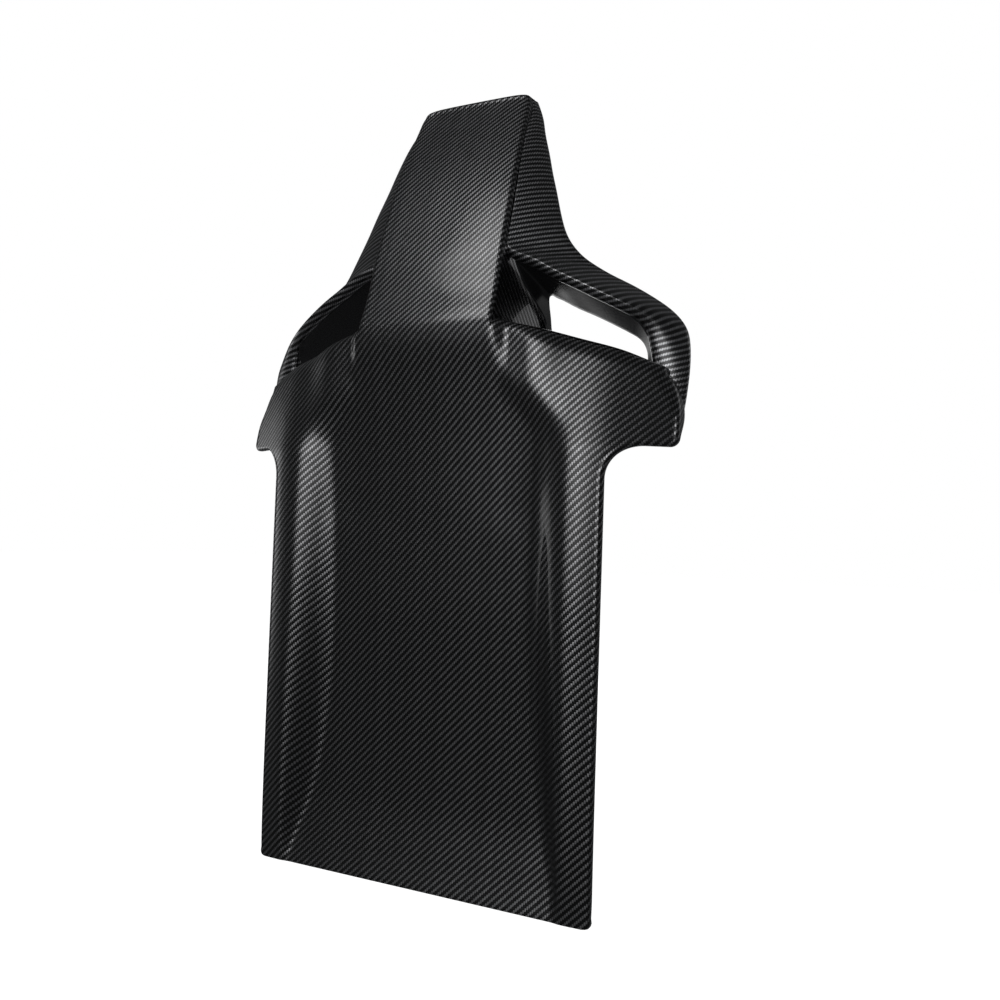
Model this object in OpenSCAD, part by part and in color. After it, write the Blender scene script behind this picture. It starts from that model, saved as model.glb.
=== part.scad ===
// Rear shell of a competition seat backrest: panel, shoulders and head spine in one
// carbon moulding, two bonded harness-slot wings, and the hardware it hides inside.
// X is the seat's right as seen from behind, +Y is forwards to the sitter, +Z is up.

/* [Panel] */
// half width of the flat lower panel
panel_half_w = 203.5; // [190:0.5:215]
// wall of every carbon moulding
wall = 2.6; // [2.2:0.1:3]
// radius of the panel's two lower corners
corner_r = 8; // [6:1:12]
// how far the panel's side flanges return forwards
flange = 8; // [6:1:14]

/* [Shoulders] */
// half width over the two shoulders
shoulder_half_w = 268.5; // [262:0.5:272]
// height of the shoulders' flat lower edge
shoulder_z = 478; // [475:1:480]
// radius of the notch between panel and shoulder
notch_r = 38; // [32:1:40]
// how far the rolled shoulder lip runs forwards under the harness slot
lip = 44; // [36:1:48]

/* [Head] */
// height of the head's two top corners before their roll
head_z = 881; // [874:1:882]
// how much higher the middle of the head's top edge stands
head_rise = 6; // [4:0.5:10]
// radius of the roll along the head's top edge
head_roll = 6; // [5:0.5:7]

/* [Mounting] */
// half of the stud pattern's width
stud_dx = 100; // [95:1:102]
// half of the stud pattern's height
stud_dz = 140; // [130:1:145]
// height of the stud pattern's centre
stud_zc = 250; // [245:1:255]
// radius of an M6 stud
stud_r = 3; // [2.5:0.5:4]
// plane that the studs' free ends reach
stud_tip = 52; // [48:1:56]
// radius of a bonded stud's base plate
plate_r = 19; // [17:1:20]

/* [Stiffeners] */
// width over the feet of a hat stiffener
hat_w = 46; // [40:1:50]
// height of a hat stiffener
hat_h = 15; // [12:1:18]
// wall of a hat stiffener
hat_wall = 1.8; // [1.5:0.1:2.2]

/* [Hidden] */
origin_y = 40;
foot_z = 595;
bite = 0.02;

// stations down the middle of the back face, from the bottom edge to the head
spine_y = [[0, 1], [30, 9], [85, 19], [185, 21], [300, 15], [390, 10], [477, 2],
    [541, -9.5], [575, -18], [597, -21.5], [643, -6], [690, 6], [788, 40], [880, 82.5]];
// the recessed floor beside the spine's foot
floor_y = [[0, 1], [30, 9], [85, 19], [185, 21], [300, 15], [390, 11], [477, 8],
    [520, 8], [560, 5], [600, 0]];
// half widths of the spine, of the recessed floor and of the ridge around it
spine_x = [[380, 86], [541, 84.4], [592, 83], [643, 81.7], [689, 81], [788, 77.9], [880, 71]];
floor_x = [[0, 163], [28, 160], [85, 142], [184, 126], [300, 119], [391, 120], [477, 123],
    [600, 124]];
ridge_x = [[0, 173], [86, 174], [183, 173.5], [297, 170], [389, 169], [476, 168], [600, 166]];
// width of the blend from the spine's edge into the floor
blend_w = [[380, 60], [477, 45], [518, 30], [541, 15], [600, 14]];
// how far forwards the spine's side walls run
wall_y = [[596, 90], [613, 122], [627, 116], [641, 90], [656, 58], [673, 34], [705, 24],
    [788, 18], [880, 14]];
// rear line of a wing: down beside the spine, then around the harness slot's rim
wing_rim = [[71, 92, 878], [76, 69, 842], [79.5, 54, 810], [81, 45, 786], [82.5, 36, 760],
    [83.5, 28, 733], [84.5, 20, 706], [88, 14.5, 687], [97, 14.5, 680.5], [112, 15, 675],
    [134, 17.5, 662], [158, 20, 649.5], [184, 27, 636], [208, 37, 624], [224, 47, 614],
    [232.5, 55, 600], [237, 59, 579], [241, 61, 552], [246, 58, 515], [249, 54, 481]];
// outer line of a wing: cheek, flare, outer curve and lower tip
wing_out = [[76.5, 96, 878], [89.5, 80, 838], [99, 73, 810], [106, 67, 786], [115, 60, 760],
    [123.5, 54, 732], [134, 49, 705], [148.5, 53, 685.5], [163.5, 60, 674], [181, 68, 663.5],
    [201.5, 76, 653], [222, 82, 640.5], [240.5, 84, 627], [254, 82, 613], [262.5, 78, 598],
    [266.5, 72, 578], [267, 69, 555], [265, 65, 525], [262, 60, 500], [257, 56, 480]];
// rear and front edges of the slot's liner: up its inner end, along its top, down its outer end
liner_rear = [[97, 92, 612], [97, 88, 626], [95, 68, 641], [92, 44, 657], [92, 27, 672],
    [99, 25, 675], [112, 25, 669.5], [132, 27, 656.5], [156, 30, 643.5], [182, 36, 630],
    [205, 45, 618], [219, 53, 608], [227, 61, 595], [232, 66, 578], [235, 69, 562]];
liner_front = [[97, 106, 612], [96, 104, 630], [95, 101, 645], [97, 97, 653], [103, 94, 655],
    [110, 92, 651], [120, 90, 646], [138, 90, 636], [158, 90, 626.5], [180, 90, 615],
    [198, 90, 605], [209, 89, 598], [216, 88, 590], [220, 87, 580], [221, 86, 568]];
clip_z = [60, 250, 425];
clip_x = 186;
web_z = [715, 800];
rib_x = 54;
beam_w = 140;
beam_z = [576, 614];
beam_y = -12;
beam_t = 2;
hook_x = 45;
rivet_r = 2.4;

function lerp(a, b, t) = a + (b - a) * t;
function clamp01(t) = min(1, max(0, t));
function ease(t) = let (c = clamp01(t)) c * c * (3 - 2 * c);
function unit(v) = v / norm(v);
function hermite(a, b, da, db, t) =
    let (t2 = t * t, t3 = t2 * t)
    (2 * t3 - 3 * t2 + 1) * a + (t3 - 2 * t2 + t) * da
    + (3 * t2 - 2 * t3) * b + (t3 - t2) * db;
// slope of a station list at station i
function slope(tab, i) =
    i <= 0 ? (tab[1][1] - tab[0][1]) / (tab[1][0] - tab[0][0])
    : i >= len(tab) - 1 ? (tab[i][1] - tab[i - 1][1]) / (tab[i][0] - tab[i - 1][0])
    : (tab[i + 1][1] - tab[i - 1][1]) / (tab[i + 1][0] - tab[i - 1][0]);
// smooth curve through a station list of [z, value]
function at(tab, z, i = 0) =
    z <= tab[0][0] ? tab[0][1]
    : z >= tab[len(tab) - 1][0] ? tab[len(tab) - 1][1]
    : z > tab[i + 1][0] ? at(tab, z, i + 1)
    : let (h = tab[i + 1][0] - tab[i][0])
      hermite(tab[i][1], tab[i + 1][1], slope(tab, i) * h, slope(tab, i + 1) * h,
          (z - tab[i][0]) / h);
// smooth curve through a list of points, u counted in stations
function along(pts, u) =
    let (n = len(pts) - 1, i = min(n - 1, max(0, floor(u))), t = u - i,
        p = pts[max(0, i - 1)], a = pts[i], b = pts[i + 1], q = pts[min(n, i + 2)])
    hermite(a, b, (b - p) / 2, (q - a) / 2, t);

// crowned border and shoulder surface, before the recess is sunk into it
function border_y(x, z) =
    let (ridge = -10 * (1 - exp(-z / 60)),
        d = max(0, x - 168),
        sweep = 0.6 * (sqrt(d * d + 900) - 30),
        crown = (1.5 - ridge) / 11.4,
        lean = 0.2 * max(0, z - 470) * ease((x - 120) / 60))
    ridge + crown * sweep + lean;
// share of the recess depth at a point: 1 on the floor, 0 on the border
function recess(x, z) =
    let (hub = 90, rx = at(ridge_x, z), fx = at(floor_x, z),
        rho = norm([max(0, x - hub) / (rx - hub), max(0, z - 480) / 70]),
        inner = (fx - hub) / (rx - hub))
    1 - ease((rho - inner) / (1 - inner));
// the back face of panel and shoulders
function back_y(x, z) =
    let (ax = abs(x), b = border_y(ax, z),
        base = b + (at(floor_y, z) - b) * recess(ax, z),
        s = 1 - ease((ax - at(spine_x, z)) / at(blend_w, z)))
    z > 380 ? lerp(base, at(spine_y, z) + 1.6 * ax * ax / 7000, s) : base;
// height at which the shoulder starts to roll forwards
function ridge_z(x) = foot_z - 38 * pow(max(0, x - 88) / 150, 1.15);

// boundary of panel and shoulder, bottom corner to the shoulder's outer end: [zc, x, z]
edge_path = concat(
    [for (a = [0:30:90]) let (z = corner_r * (1 - cos(a)))
        [z, panel_half_w - corner_r + corner_r * sin(a), z]],
    [for (z = [24, 44, 66, 90, 116, 145, 180, 220, 260, 300, 335, 370, 400, 420, 436]) [z, panel_half_w, z]],
    [for (a = [0:18:90]) [446 + a / 2, panel_half_w + notch_r * (1 - cos(a)),
        shoulder_z - notch_r + notch_r * sin(a)]],
    [for (t = [1, 2]) [491 + 10 * t, lerp(panel_half_w + notch_r, shoulder_half_w - 5, t / 2), shoulder_z]],
    [for (a = [30:30:90]) [515 + a / 6, shoulder_half_w - 5 + 5 * sin(a), shoulder_z + 5 * (1 - cos(a))]],
    [[537, shoulder_half_w, 493], [546, shoulder_half_w - 0.5, 506], [555, shoulder_half_w - 2.2, 518],
        [564, shoulder_half_w - 5.2, 529], [573, shoulder_half_w - 9.7, 539],
        [583, shoulder_half_w - 15.7, 547]]);
n_row = len(edge_path) + 1;
edge_r = 4;
spine_r = 3;
foot = 13;
// half-width columns: across the spine, down its edge to the foot, then out to the edge roll
spine_share = [0, 0.5, 0.85];
field_share = [0.14, 0.28, 0.4, 0.52, 0.64, 0.76, 0.88, 1];
k_edge = 3;
k_foot = 7;
n_half = k_foot + len(field_share);
function edge_at(j) = j < len(edge_path) ? edge_path[j] : [foot_z, shoulder_half_w - 22.7, 554];
function col_x(k, z, ex) =
    let (xs = at(spine_x, z))
    k < k_edge ? xs * spine_share[k]
    : k == 3 ? xs - spine_r
    : k == 4 ? xs - 0.3 * spine_r
    : k == 5 ? xs
    : k == 6 ? xs + foot / 2
    : k == 7 ? xs + foot
    : lerp(xs + foot, ex, field_share[k - k_foot - 1]);
function sheet_pt(j, k) =
    let (e = edge_at(j), top_row = j == n_row - 1, side = sign(k), ka = abs(k),
        ex = e[1] - (top_row ? 0 : edge_r * (j < 3 ? 0.8 : 1)),
        x0 = col_x(ka, e[0], ex), z = top_row ? ridge_z(x0) : lerp(e[0], e[2], pow(x0 / ex, 1.6)),
        x = col_x(ka, z, ex))
    [side * x, back_y(x, z), z];
sheet = [for (j = [0:n_row - 1]) [for (k = [-n_half:n_half]) sheet_pt(j, k)]];
nc = 2 * n_half + 1;

// perimeter of one half of the sheet, from the bottom corner over the shoulder to the spine's foot
perim = concat([for (j = [0:n_row - 1]) sheet[j][nc - 1]],
    [for (k = [nc - 2:-1:n_half + k_foot]) sheet[n_row - 1][k]]);
n_perim = len(perim);
function outward(b) =
    let (p = perim[max(0, b - 1)], q = perim[min(n_perim - 1, b + 1)])
    unit([q[2] - p[2], 0, p[0] - q[0]]);
// roll and flange that follow the perimeter: they grow along the shoulder's top
roll_steps = [[0, 0], [0.38, 0.08], [0.72, 0.3], [0.94, 0.65], [1, 1]];
n_roll = len(roll_steps) - 1;
n_ring = n_roll + 2;
function roll_r(b) = b < n_row ? edge_r * (b < 3 ? 0.8 : 1) : lerp(9, edge_r, ease((perim[b][0] - 200) / 50));
function reach(b) = b < n_row - 1 ? flange * ease((perim[b][2] + 14) / 24)
    : lerp(lip, flange, ease((perim[b][0] - 215) / 35));
// point e of the roll on perimeter point b, t inside the outer face
function ring_pt(b, e, t) =
    let (r = roll_r(b), s = roll_steps[min(e, n_roll)], run = (reach(b) - r) * max(0, e - n_roll) / 2,
        fall = b < n_row ? 0 : 0.1)
    perim[b] + outward(b) * (r - t) * s[0] + [0, t + (r - t) * s[1] + run, -fall * run];

// rows of the spine above the shoulders: [height at the edge, drop of the wall's front edge]
spine_rows = concat([for (i = [0:n_ring]) [foot_z + 2.2 * i + 0.15 * i * i, 0]],
    [[621, 12], [632, 6], [648, 2], [666, 0], [688, 0], [712, 0], [740, 0], [770, 0], [800, 0],
        [830, 0], [858, 0], [head_z, 0]]);
n_top = 3;
n_spine = len(spine_rows) + n_top;
wall_share = [0, 0.45, 1];
function head_round(z) = 6 * pow(clamp01((z - head_z + 8) / 16), 2);
// point of spine row i, column k, t inside the outer face
function spine_pt(i, k, t) =
    let (ka = abs(k), side = sign(k), roll = 90 * max(0, i - n_spine + n_top + 1) / n_top,
        row = spine_rows[min(i, len(spine_rows) - 1)], z = row[0], zt = z + head_roll * sin(roll),
        xs = at(spine_x, z), xe = xs - head_round(zt),
        rise = head_rise * pow(clamp01((z - 790) / (head_z - 790)), 2)
            * (1 - pow(min(1, col_x(min(ka, 5), z, 0) / xs), 8)),
        y = at(spine_y, z) + 0.5 * rise + 1.6 * pow(min(1, ka / 3), 2) + head_roll * (1 - cos(roll)),
        deep = at(wall_y, z), edge = ka - k_edge,
        hz = z + rise + (head_roll - (roll > 0 ? t : 0)) * sin(roll), hy = y + t * (roll > 0 ? cos(roll) : 1))
    ka < k_edge ? [side * xe * spine_share[ka], hy, hz]
    : ka <= 5 ? let (s = roll_steps[edge * 2])
        [side * (xe - spine_r + (spine_r - t) * s[0]), hy + (spine_r - t) * s[1], hz]
    : let (w = wall_share[ka - 5])
        [side * (xe - t + 0.11 * deep * w), y + spine_r + deep * w, hz - row[1] * (w == 1 ? 1 : 0)];
function mirrored(p) = [-p[0], p[1], p[2]];
function spine_line(i, t) = [for (k = [-k_foot:k_foot])
    i <= n_ring && abs(k) == k_foot ? let (p = ring_pt(n_perim - 1, i, t)) (k < 0 ? mirrored(p) : p)
    : i == 0 ? sheet[n_row - 1][n_half + k] + [0, t, 0]
    : spine_pt(i, k, t)];

// unit normal of a grid of points, by differences inside the grid
function grid_n(g, i, j) =
    let (a = g[min(len(g) - 1, i + 1)][j] - g[max(0, i - 1)][j],
        b = g[i][min(len(g[0]) - 1, j + 1)] - g[i][max(0, j - 1)])
    unit(cross(b, a));
function quads(idx, ni, nj) = [for (i = [0:ni - 2]) for (j = [0:nj - 2])
    each [[idx[i][j], idx[i + 1][j], idx[i + 1][j + 1]], [idx[i][j], idx[i + 1][j + 1], idx[i][j + 1]]]];
function flipped(faces) = [for (f = faces) [f[2], f[1], f[0]]];
function rim_faces(loop, n) = [for (i = [0:len(loop) - 1]) let (a = loop[i], b = loop[(i + 1) % len(loop)])
    each [[a, b, b + n], [a, b + n, a + n]]];

// closed shell from a rectangular grid whose outer side is on its left-hand side
module grid_shell(g, t) {
    ni = len(g);
    nj = len(g[0]);
    outer = [for (i = [0:ni - 1]) for (j = [0:nj - 1]) g[i][j]];
    inner = [for (i = [0:ni - 1]) for (j = [0:nj - 1]) g[i][j] - t * grid_n(g, i, j)];
    idx = [for (i = [0:ni - 1]) [for (j = [0:nj - 1]) i * nj + j]];
    skin = quads(idx, ni, nj);
    loop = concat([for (j = [0:nj - 1]) j], [for (i = [1:ni - 1]) i * nj + nj - 1],
        [for (j = [nj - 2:-1:0]) (ni - 1) * nj + j], [for (i = [ni - 2:-1:1]) i * nj]);
    n = ni * nj;
    polyhedron(concat(outer, inner), concat(skin, flipped([for (f = skin) f + [n, n, n]]),
        rim_faces(loop, n)), convexity = 12);
}

// panel, shoulders and spine as one closed moulding
module back_shell() color([0.05, 0.05, 0.055]) {
    skins = [for (t = [0, wall]) let (
            half = [for (b = [0:n_perim - 1]) [for (e = [0:n_ring]) ring_pt(b, e, t)]])
        [[for (row = sheet) [for (p = row) p + [0, t, 0]]], half,
            [for (row = half) [for (p = row) mirrored(p)]],
            [for (i = [0:n_spine - 1]) spine_line(i, t)]]];
    turned = [false, false, true, false];
    starts = [for (m = [0:3]) m == 0 ? 0 : sum_to([for (g = skins[0]) len(g) * len(g[0])], m)];
    n = sum_to([for (g = skins[0]) len(g) * len(g[0])], 4);
    id = function (m, i, j) starts[m] + i * len(skins[0][m][0]) + j;
    skin = [for (m = [0:3]) let (g = skins[0][m],
            f = quads([for (i = [0:len(g) - 1]) [for (j = [0:len(g[0]) - 1]) id(m, i, j)]], len(g), len(g[0])))
        each (turned[m] ? flipped(f) : f)];
    rim = concat([for (k = [0:nc - 1]) id(0, 0, k)], [for (e = [1:n_ring]) id(1, 0, e)],
        [for (b = [1:n_perim - 1]) id(1, b, n_ring)],
        [for (i = [n_ring + 1:n_spine - 1]) id(3, i, 2 * k_foot)],
        [for (k = [2 * k_foot - 1:-1:0]) id(3, n_spine - 1, k)],
        [for (i = [n_spine - 2:-1:n_ring + 1]) id(3, i, 0)],
        [for (b = [n_perim - 1:-1:0]) id(2, b, n_ring)], [for (e = [n_ring - 1:-1:1]) id(2, 0, e)]);
    polyhedron([for (side = skins) for (g = side) for (row = g) each row],
        concat(skin, flipped([for (f = skin) f + [n, n, n]]), rim_faces(rim, n)), convexity = 12);
}
function sum_to(list, m) = m == 0 ? 0 : list[m - 1] + sum_to(list, m - 1);

// wing: cheek beside the head, flare and the loop around the harness slot
wing_steps = 40;
function wing_line(u) =
    let (a = along(wing_rim, u), b = along(wing_out, u), o = unit(b - a),
        way = along(wing_rim, u + 0.05) - along(wing_rim, u - 0.05),
        n = unit(cross(o, way)), back = n[1] > 0 ? -n : n, f = [0, 1, 0],
        down = unit([way[2], 0, -way[0]]), r = lerp(2.6, 9, ease((u - 6) / 2)))
    concat([a + r * down + (r + 2) * f],
        [for (i = [n_roll:-1:1]) a + r * (roll_steps[i][0] * down + roll_steps[i][1] * f)],
        [for (s = [0:0.2:1]) lerp(a, b, s) + 8 * s * (1 - s) * back],
        [b + 1.5 * o + 1.6 * f, b + 2.2 * o + 4.5 * f, b + 0.5 * o + 9 * f, b - 7 * o + 12 * f]);
module wing(side) mirror([side < 0 ? 1 : 0, 0, 0])
    grid_shell([for (i = [wing_steps:-1:0]) wing_line((len(wing_rim) - 1) * i / wing_steps)], wall);
module wing_right() color([0.06, 0.06, 0.065]) wing(1);
module wing_left() color([0.06, 0.06, 0.065]) wing(-1);

// liner of the harness slot: its inner end, its upper wall and its outer end in one strip
module liner(side) mirror([side < 0 ? 1 : 0, 0, 0])
    grid_shell([for (i = [0:28]) let (a = along(liner_rear, i / 2), b = along(liner_front, i / 2))
        [for (t = [0:0.25:1]) lerp(a, b, t)]], 1.6);
module slot_liner_right() color([0.5, 0.5, 0.5]) liner(1);
module slot_liner_left() color([0.5, 0.5, 0.5]) liner(-1);

// solid between two grids of points that share their rows and columns
module slab(back, front) {
    ni = len(back);
    nj = len(back[0]);
    idx = [for (i = [0:ni - 1]) [for (j = [0:nj - 1]) i * nj + j]];
    loop = concat([for (j = [0:nj - 1]) j], [for (i = [1:ni - 1]) i * nj + nj - 1],
        [for (j = [nj - 2:-1:0]) (ni - 1) * nj + j], [for (i = [ni - 2:-1:1]) i * nj]);
    n = ni * nj;
    skin = quads(idx, ni, nj);
    polyhedron(concat([for (row = back) each row], [for (row = front) each row]),
        concat(skin, flipped([for (f = skin) f + [n, n, n]]), rim_faces(loop, n)));
}
function inner_y(x, z) = back_y(x, z) + wall + 0.15;

// pad bonded to the inside of the shell, flat on its free face at y1
module pad(xc, zc, w, h, y1) {
    n = 4;
    xs = [for (j = [0:n]) xc - w / 2 + w * j / n];
    zs = [for (i = [0:n]) zc - h / 2 + h * i / n];
    slab([for (z = zs) [for (x = xs) [x, inner_y(x, z), z]]], [for (z = zs) [for (x = xs) [x, y1, z]]]);
}
module bond_pads() color([0.16, 0.16, 0.15]) {
    for (sx = [-1, 1]) {
        for (sz = [-1, 1]) pad(sx * stud_dx, stud_zc + sz * stud_dz, 44, 44, 26);
        for (z = clip_z) pad(sx * clip_x, z, 16, 24, 0.4);
        translate([sx * hook_x - 15, beam_y - 2.2, beam_z[0] + 4]) cube([30, 2.2, 28]);
    }
}

// hat-section stiffeners: feet bonded to the shell, crown standing forwards
hat_profile = [[-0.5, 0], [-0.3, 0], [-0.2, 1], [0.2, 1], [0.3, 0], [0.5, 0]];
module rib(side) grid_shell([for (z = [70:24:430]) [for (p = hat_profile)
    let (x = side * rib_x + p[0] * hat_w) [x, inner_y(x, z) + p[1] * hat_h, z]]], hat_wall);
module cross_rib(zc) grid_shell([for (p = hat_profile) [for (x = [-28:14:28])
    let (z = zc + p[0] * hat_w) [x, inner_y(x, z) + p[1] * hat_h, z]]], hat_wall);
module rib_right() color([0.09, 0.09, 0.09]) rib(1);
module rib_left() color([0.09, 0.09, 0.09]) rib(-1);
module cross_rib_lower() color([0.09, 0.09, 0.09]) cross_rib(150);
module cross_rib_upper() color([0.09, 0.09, 0.09]) cross_rib(350);

// webs that tie the head's side walls together, each with a lightening hole
module head_web(z) {
    w = at(spine_x, z) - 6;
    y0 = at(spine_y, z) + wall + 3.2;
    translate([0, 0, z - 1]) linear_extrude(2) difference() {
        polygon([[-w, y0], [w, y0], [w + 1, y0 + 17], [-w - 1, y0 + 17]]);
        for (x = [-44, 0, 44]) translate([x, y0 + 9]) circle(r = 5, $fn = 48);
    }
}
module head_web_lower() color([0.1, 0.1, 0.1]) head_web(web_z[0]);
module head_web_upper() color([0.1, 0.1, 0.1]) head_web(web_z[1]);

// folded aluminium channel behind the spine's foot, and the steel hooks riveted to it
module beam_holes(r) for (sx = [-1, 1]) for (dz = [-9, 9])
    translate([sx * hook_x, beam_y - 1, (beam_z[0] + beam_z[1]) / 2 + dz]) rotate([-90, 0, 0])
        cylinder(r = r, h = 12, $fn = 48);
module shoulder_beam() color([0.72, 0.73, 0.75]) difference() {
    translate([-beam_w / 2, beam_y, beam_z[0]]) cube([beam_w, 20, beam_z[1] - beam_z[0]]);
    translate([-beam_w / 2 - 1, beam_y + beam_t, beam_z[0] + beam_t])
        cube([beam_w + 2, 20, beam_z[1] - beam_z[0] - 2 * beam_t]);
    beam_holes(rivet_r);
}
module hook(side) difference() {
    translate([side * hook_x - 13, beam_y + beam_t + bite, 0]) rotate([90, 0, 90]) linear_extrude(26)
        polygon([[0, 580], [3, 580], [3, 605], [43, 605], [43, 588], [46, 585], [49, 588], [49, 608],
            [46, 611], [3, 609.8], [0, 609.8]]);
    beam_holes(rivet_r);
}
module hook_right() color([0.35, 0.36, 0.38]) hook(1);
module hook_left() color([0.35, 0.36, 0.38]) hook(-1);
module beam_rivets() color([0.8, 0.8, 0.82]) for (sx = [-1, 1]) for (dz = [-9, 9])
    translate([sx * hook_x, beam_y, (beam_z[0] + beam_z[1]) / 2 + dz]) rotate([-90, 0, 0]) {
        cylinder(r = rivet_r - bite, h = 6, $fn = 48);
        translate([0, 0, 5 + 2 * bite]) cylinder(r1 = 4.6, r2 = 3, h = 1.4, $fn = 48);
    }

// bonded stud plates: perforated disc with an M6 stud
module each_stud() for (sx = [-1, 1]) for (sz = [-1, 1])
    translate([sx * stud_dx, 0, stud_zc + sz * stud_dz]) rotate([-90, 0, 0]) children();
module stud_plates() color([0.75, 0.75, 0.76]) each_stud() translate([0, 0, 26]) difference() {
    cylinder(r = plate_r, h = 2, $fn = 96);
    for (a = [0:45:315]) rotate(a) translate([13, 0, -1]) cylinder(r = 2.4, h = 4, $fn = 32);
}
module studs() color([0.8, 0.8, 0.8]) each_stud() {
    translate([0, 0, 28]) cylinder(r = stud_r, h = stud_tip - 29, $fn = 64);
    translate([0, 0, stud_tip - 1 - bite]) cylinder(r1 = stud_r, r2 = stud_r - 0.8, h = 1 + bite, $fn = 64);
}

// clip towers around the panel and the spring clips pushed onto them
module tower(i) {
    side = i < 3 ? 1 : -1;
    translate([side * clip_x, 0.4, clip_z[i % 3]]) rotate([-90, 0, 0]) difference() {
        union() {
            translate([-8, -12, 0]) cube([16, 24, 2.4]);
            translate([-5, -7, 2]) cube([10, 14, 22]);
            translate([-7, -1, 2]) cube([14, 2, 14]);
        }
        translate([-1.4, -8, 17]) cube([2.8, 16, 8]);
    }
}
module clip_tower_1() color([0.07, 0.07, 0.07]) tower(0);
module clip_tower_2() color([0.07, 0.07, 0.07]) tower(1);
module clip_tower_3() color([0.07, 0.07, 0.07]) tower(2);
module clip_tower_4() color([0.07, 0.07, 0.07]) tower(3);
module clip_tower_5() color([0.07, 0.07, 0.07]) tower(4);
module clip_tower_6() color([0.07, 0.07, 0.07]) tower(5);
module tower_clips() color([0.6, 0.6, 0.62]) for (side = [-1, 1]) for (z = clip_z)
    translate([side * clip_x, 24.4 + bite, z]) rotate([-90, 0, 0]) {
        translate([-6, -5, 0]) cube([12, 10, 0.8]);
        for (s = [-1, 1]) translate([s * (5 + bite) - (s < 0 ? 0.8 : 0), -5, -9]) cube([0.8, 10, 9.4]);
    }

// felt pads that keep the shell off the seat frame
module felt_pads() color([0.2, 0.2, 0.21]) for (side = [-1, 1]) {
    pad(side * 136, 552, 54, 22, 12);
    pad(side * 95, 44, 60, 22, 23);
}

// the origin is the centre of the stud pattern
translate([0, -origin_y, -stud_zc]) {
    back_shell();
    wing_right();
    wing_left();
    slot_liner_right();
    slot_liner_left();
    rib_right();
    rib_left();
    cross_rib_lower();
    cross_rib_upper();
    head_web_lower();
    head_web_upper();
    shoulder_beam();
    hook_right();
    hook_left();
    beam_rivets();
    bond_pads();
    stud_plates();
    studs();
    clip_tower_1();
    clip_tower_2();
    clip_tower_3();
    clip_tower_4();
    clip_tower_5();
    clip_tower_6();
    tower_clips();
    felt_pads();
}
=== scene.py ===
"""Looks of a carbon back shell for a racing seat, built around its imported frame."""
import logging
import math
from dataclasses import dataclass, field
from enum import Enum
from functools import cached_property
from typing import Sequence

import bmesh
import bpy
import numpy as np
from mathutils import Matrix, Vector


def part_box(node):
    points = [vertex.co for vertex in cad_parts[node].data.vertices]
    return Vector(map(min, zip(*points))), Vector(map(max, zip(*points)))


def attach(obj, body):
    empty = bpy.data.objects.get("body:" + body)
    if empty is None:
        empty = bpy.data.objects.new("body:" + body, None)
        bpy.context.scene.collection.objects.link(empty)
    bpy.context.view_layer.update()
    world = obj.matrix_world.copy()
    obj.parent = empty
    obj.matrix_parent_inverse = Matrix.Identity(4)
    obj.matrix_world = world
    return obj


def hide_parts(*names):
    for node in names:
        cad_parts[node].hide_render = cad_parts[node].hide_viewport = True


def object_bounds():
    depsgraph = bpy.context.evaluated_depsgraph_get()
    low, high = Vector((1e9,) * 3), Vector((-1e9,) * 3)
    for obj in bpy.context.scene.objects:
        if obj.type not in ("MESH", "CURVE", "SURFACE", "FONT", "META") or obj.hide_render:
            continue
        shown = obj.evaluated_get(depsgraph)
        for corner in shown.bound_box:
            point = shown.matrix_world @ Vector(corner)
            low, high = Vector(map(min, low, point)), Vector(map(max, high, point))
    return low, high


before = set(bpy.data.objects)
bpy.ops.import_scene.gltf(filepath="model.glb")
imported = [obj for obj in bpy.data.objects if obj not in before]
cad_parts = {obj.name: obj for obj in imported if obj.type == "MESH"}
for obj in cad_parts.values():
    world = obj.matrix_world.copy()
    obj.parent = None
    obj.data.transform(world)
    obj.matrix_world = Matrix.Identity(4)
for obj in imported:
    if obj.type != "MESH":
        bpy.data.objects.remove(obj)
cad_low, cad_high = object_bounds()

log = logging.getLogger("back_shell")

Material = bpy.types.Material
Socket = bpy.types.NodeSocket

MM = 0.001
ORIGIN = np.array([0.0, 40.0, 250.0])
MIRROR = np.array([-1.0, 1.0, 1.0])
BODY = "root"


class Side(Enum):
    """Which side of the seat a piece belongs to, seen from behind."""

    RIGHT = 1
    LEFT = -1


class Tone(Enum):
    """How a finish catches light below its surface."""

    METAL = 1.0
    DULL = 0.0


# ---------------------------------------------------------------- curves and grids


def ease(t: np.ndarray) -> np.ndarray:
    """Smooth step from 0 to 1.

    Args:
        t: Position, clamped to 0..1.

    Returns:
        The eased value.
    """
    c = np.clip(t, 0.0, 1.0)
    return c * c * (3.0 - 2.0 * c)


def blurred(values: np.ndarray, sigma: float) -> np.ndarray:
    """Fairs samples along their first axis and keeps both end values.

    Args:
        values: Samples, first axis along the curve.
        sigma: Width of the bell, in samples.

    Returns:
        The faired samples.
    """
    reach = max(1, min(int(3 * sigma), len(values) - 2))
    bell = np.exp(-0.5 * (np.arange(-reach, reach + 1) / sigma) ** 2)
    bell /= bell.sum()
    head = 2 * values[:1] - values[reach:0:-1]
    tail = 2 * values[-1:] - values[-2:-reach - 2:-1]
    padded = np.concatenate([head, values, tail])
    return sum(w * padded[i:i + len(values)] for i, w in enumerate(bell))


def cubic(t: np.ndarray, a: np.ndarray, b: np.ndarray, leave: np.ndarray,
          arrive: np.ndarray) -> np.ndarray:
    """Curve from a to b with a given slope at each end.

    Args:
        t: Position from 0 to 1.
        a: Start.
        b: End.
        leave: Slope at the start.
        arrive: Slope at the end.

    Returns:
        The curve's values.
    """
    return ((2 * t**3 - 3 * t**2 + 1) * a + (t**3 - 2 * t**2 + t) * leave
            + (3 * t**2 - 2 * t**3) * b + (t**3 - t**2) * arrive)


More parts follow.
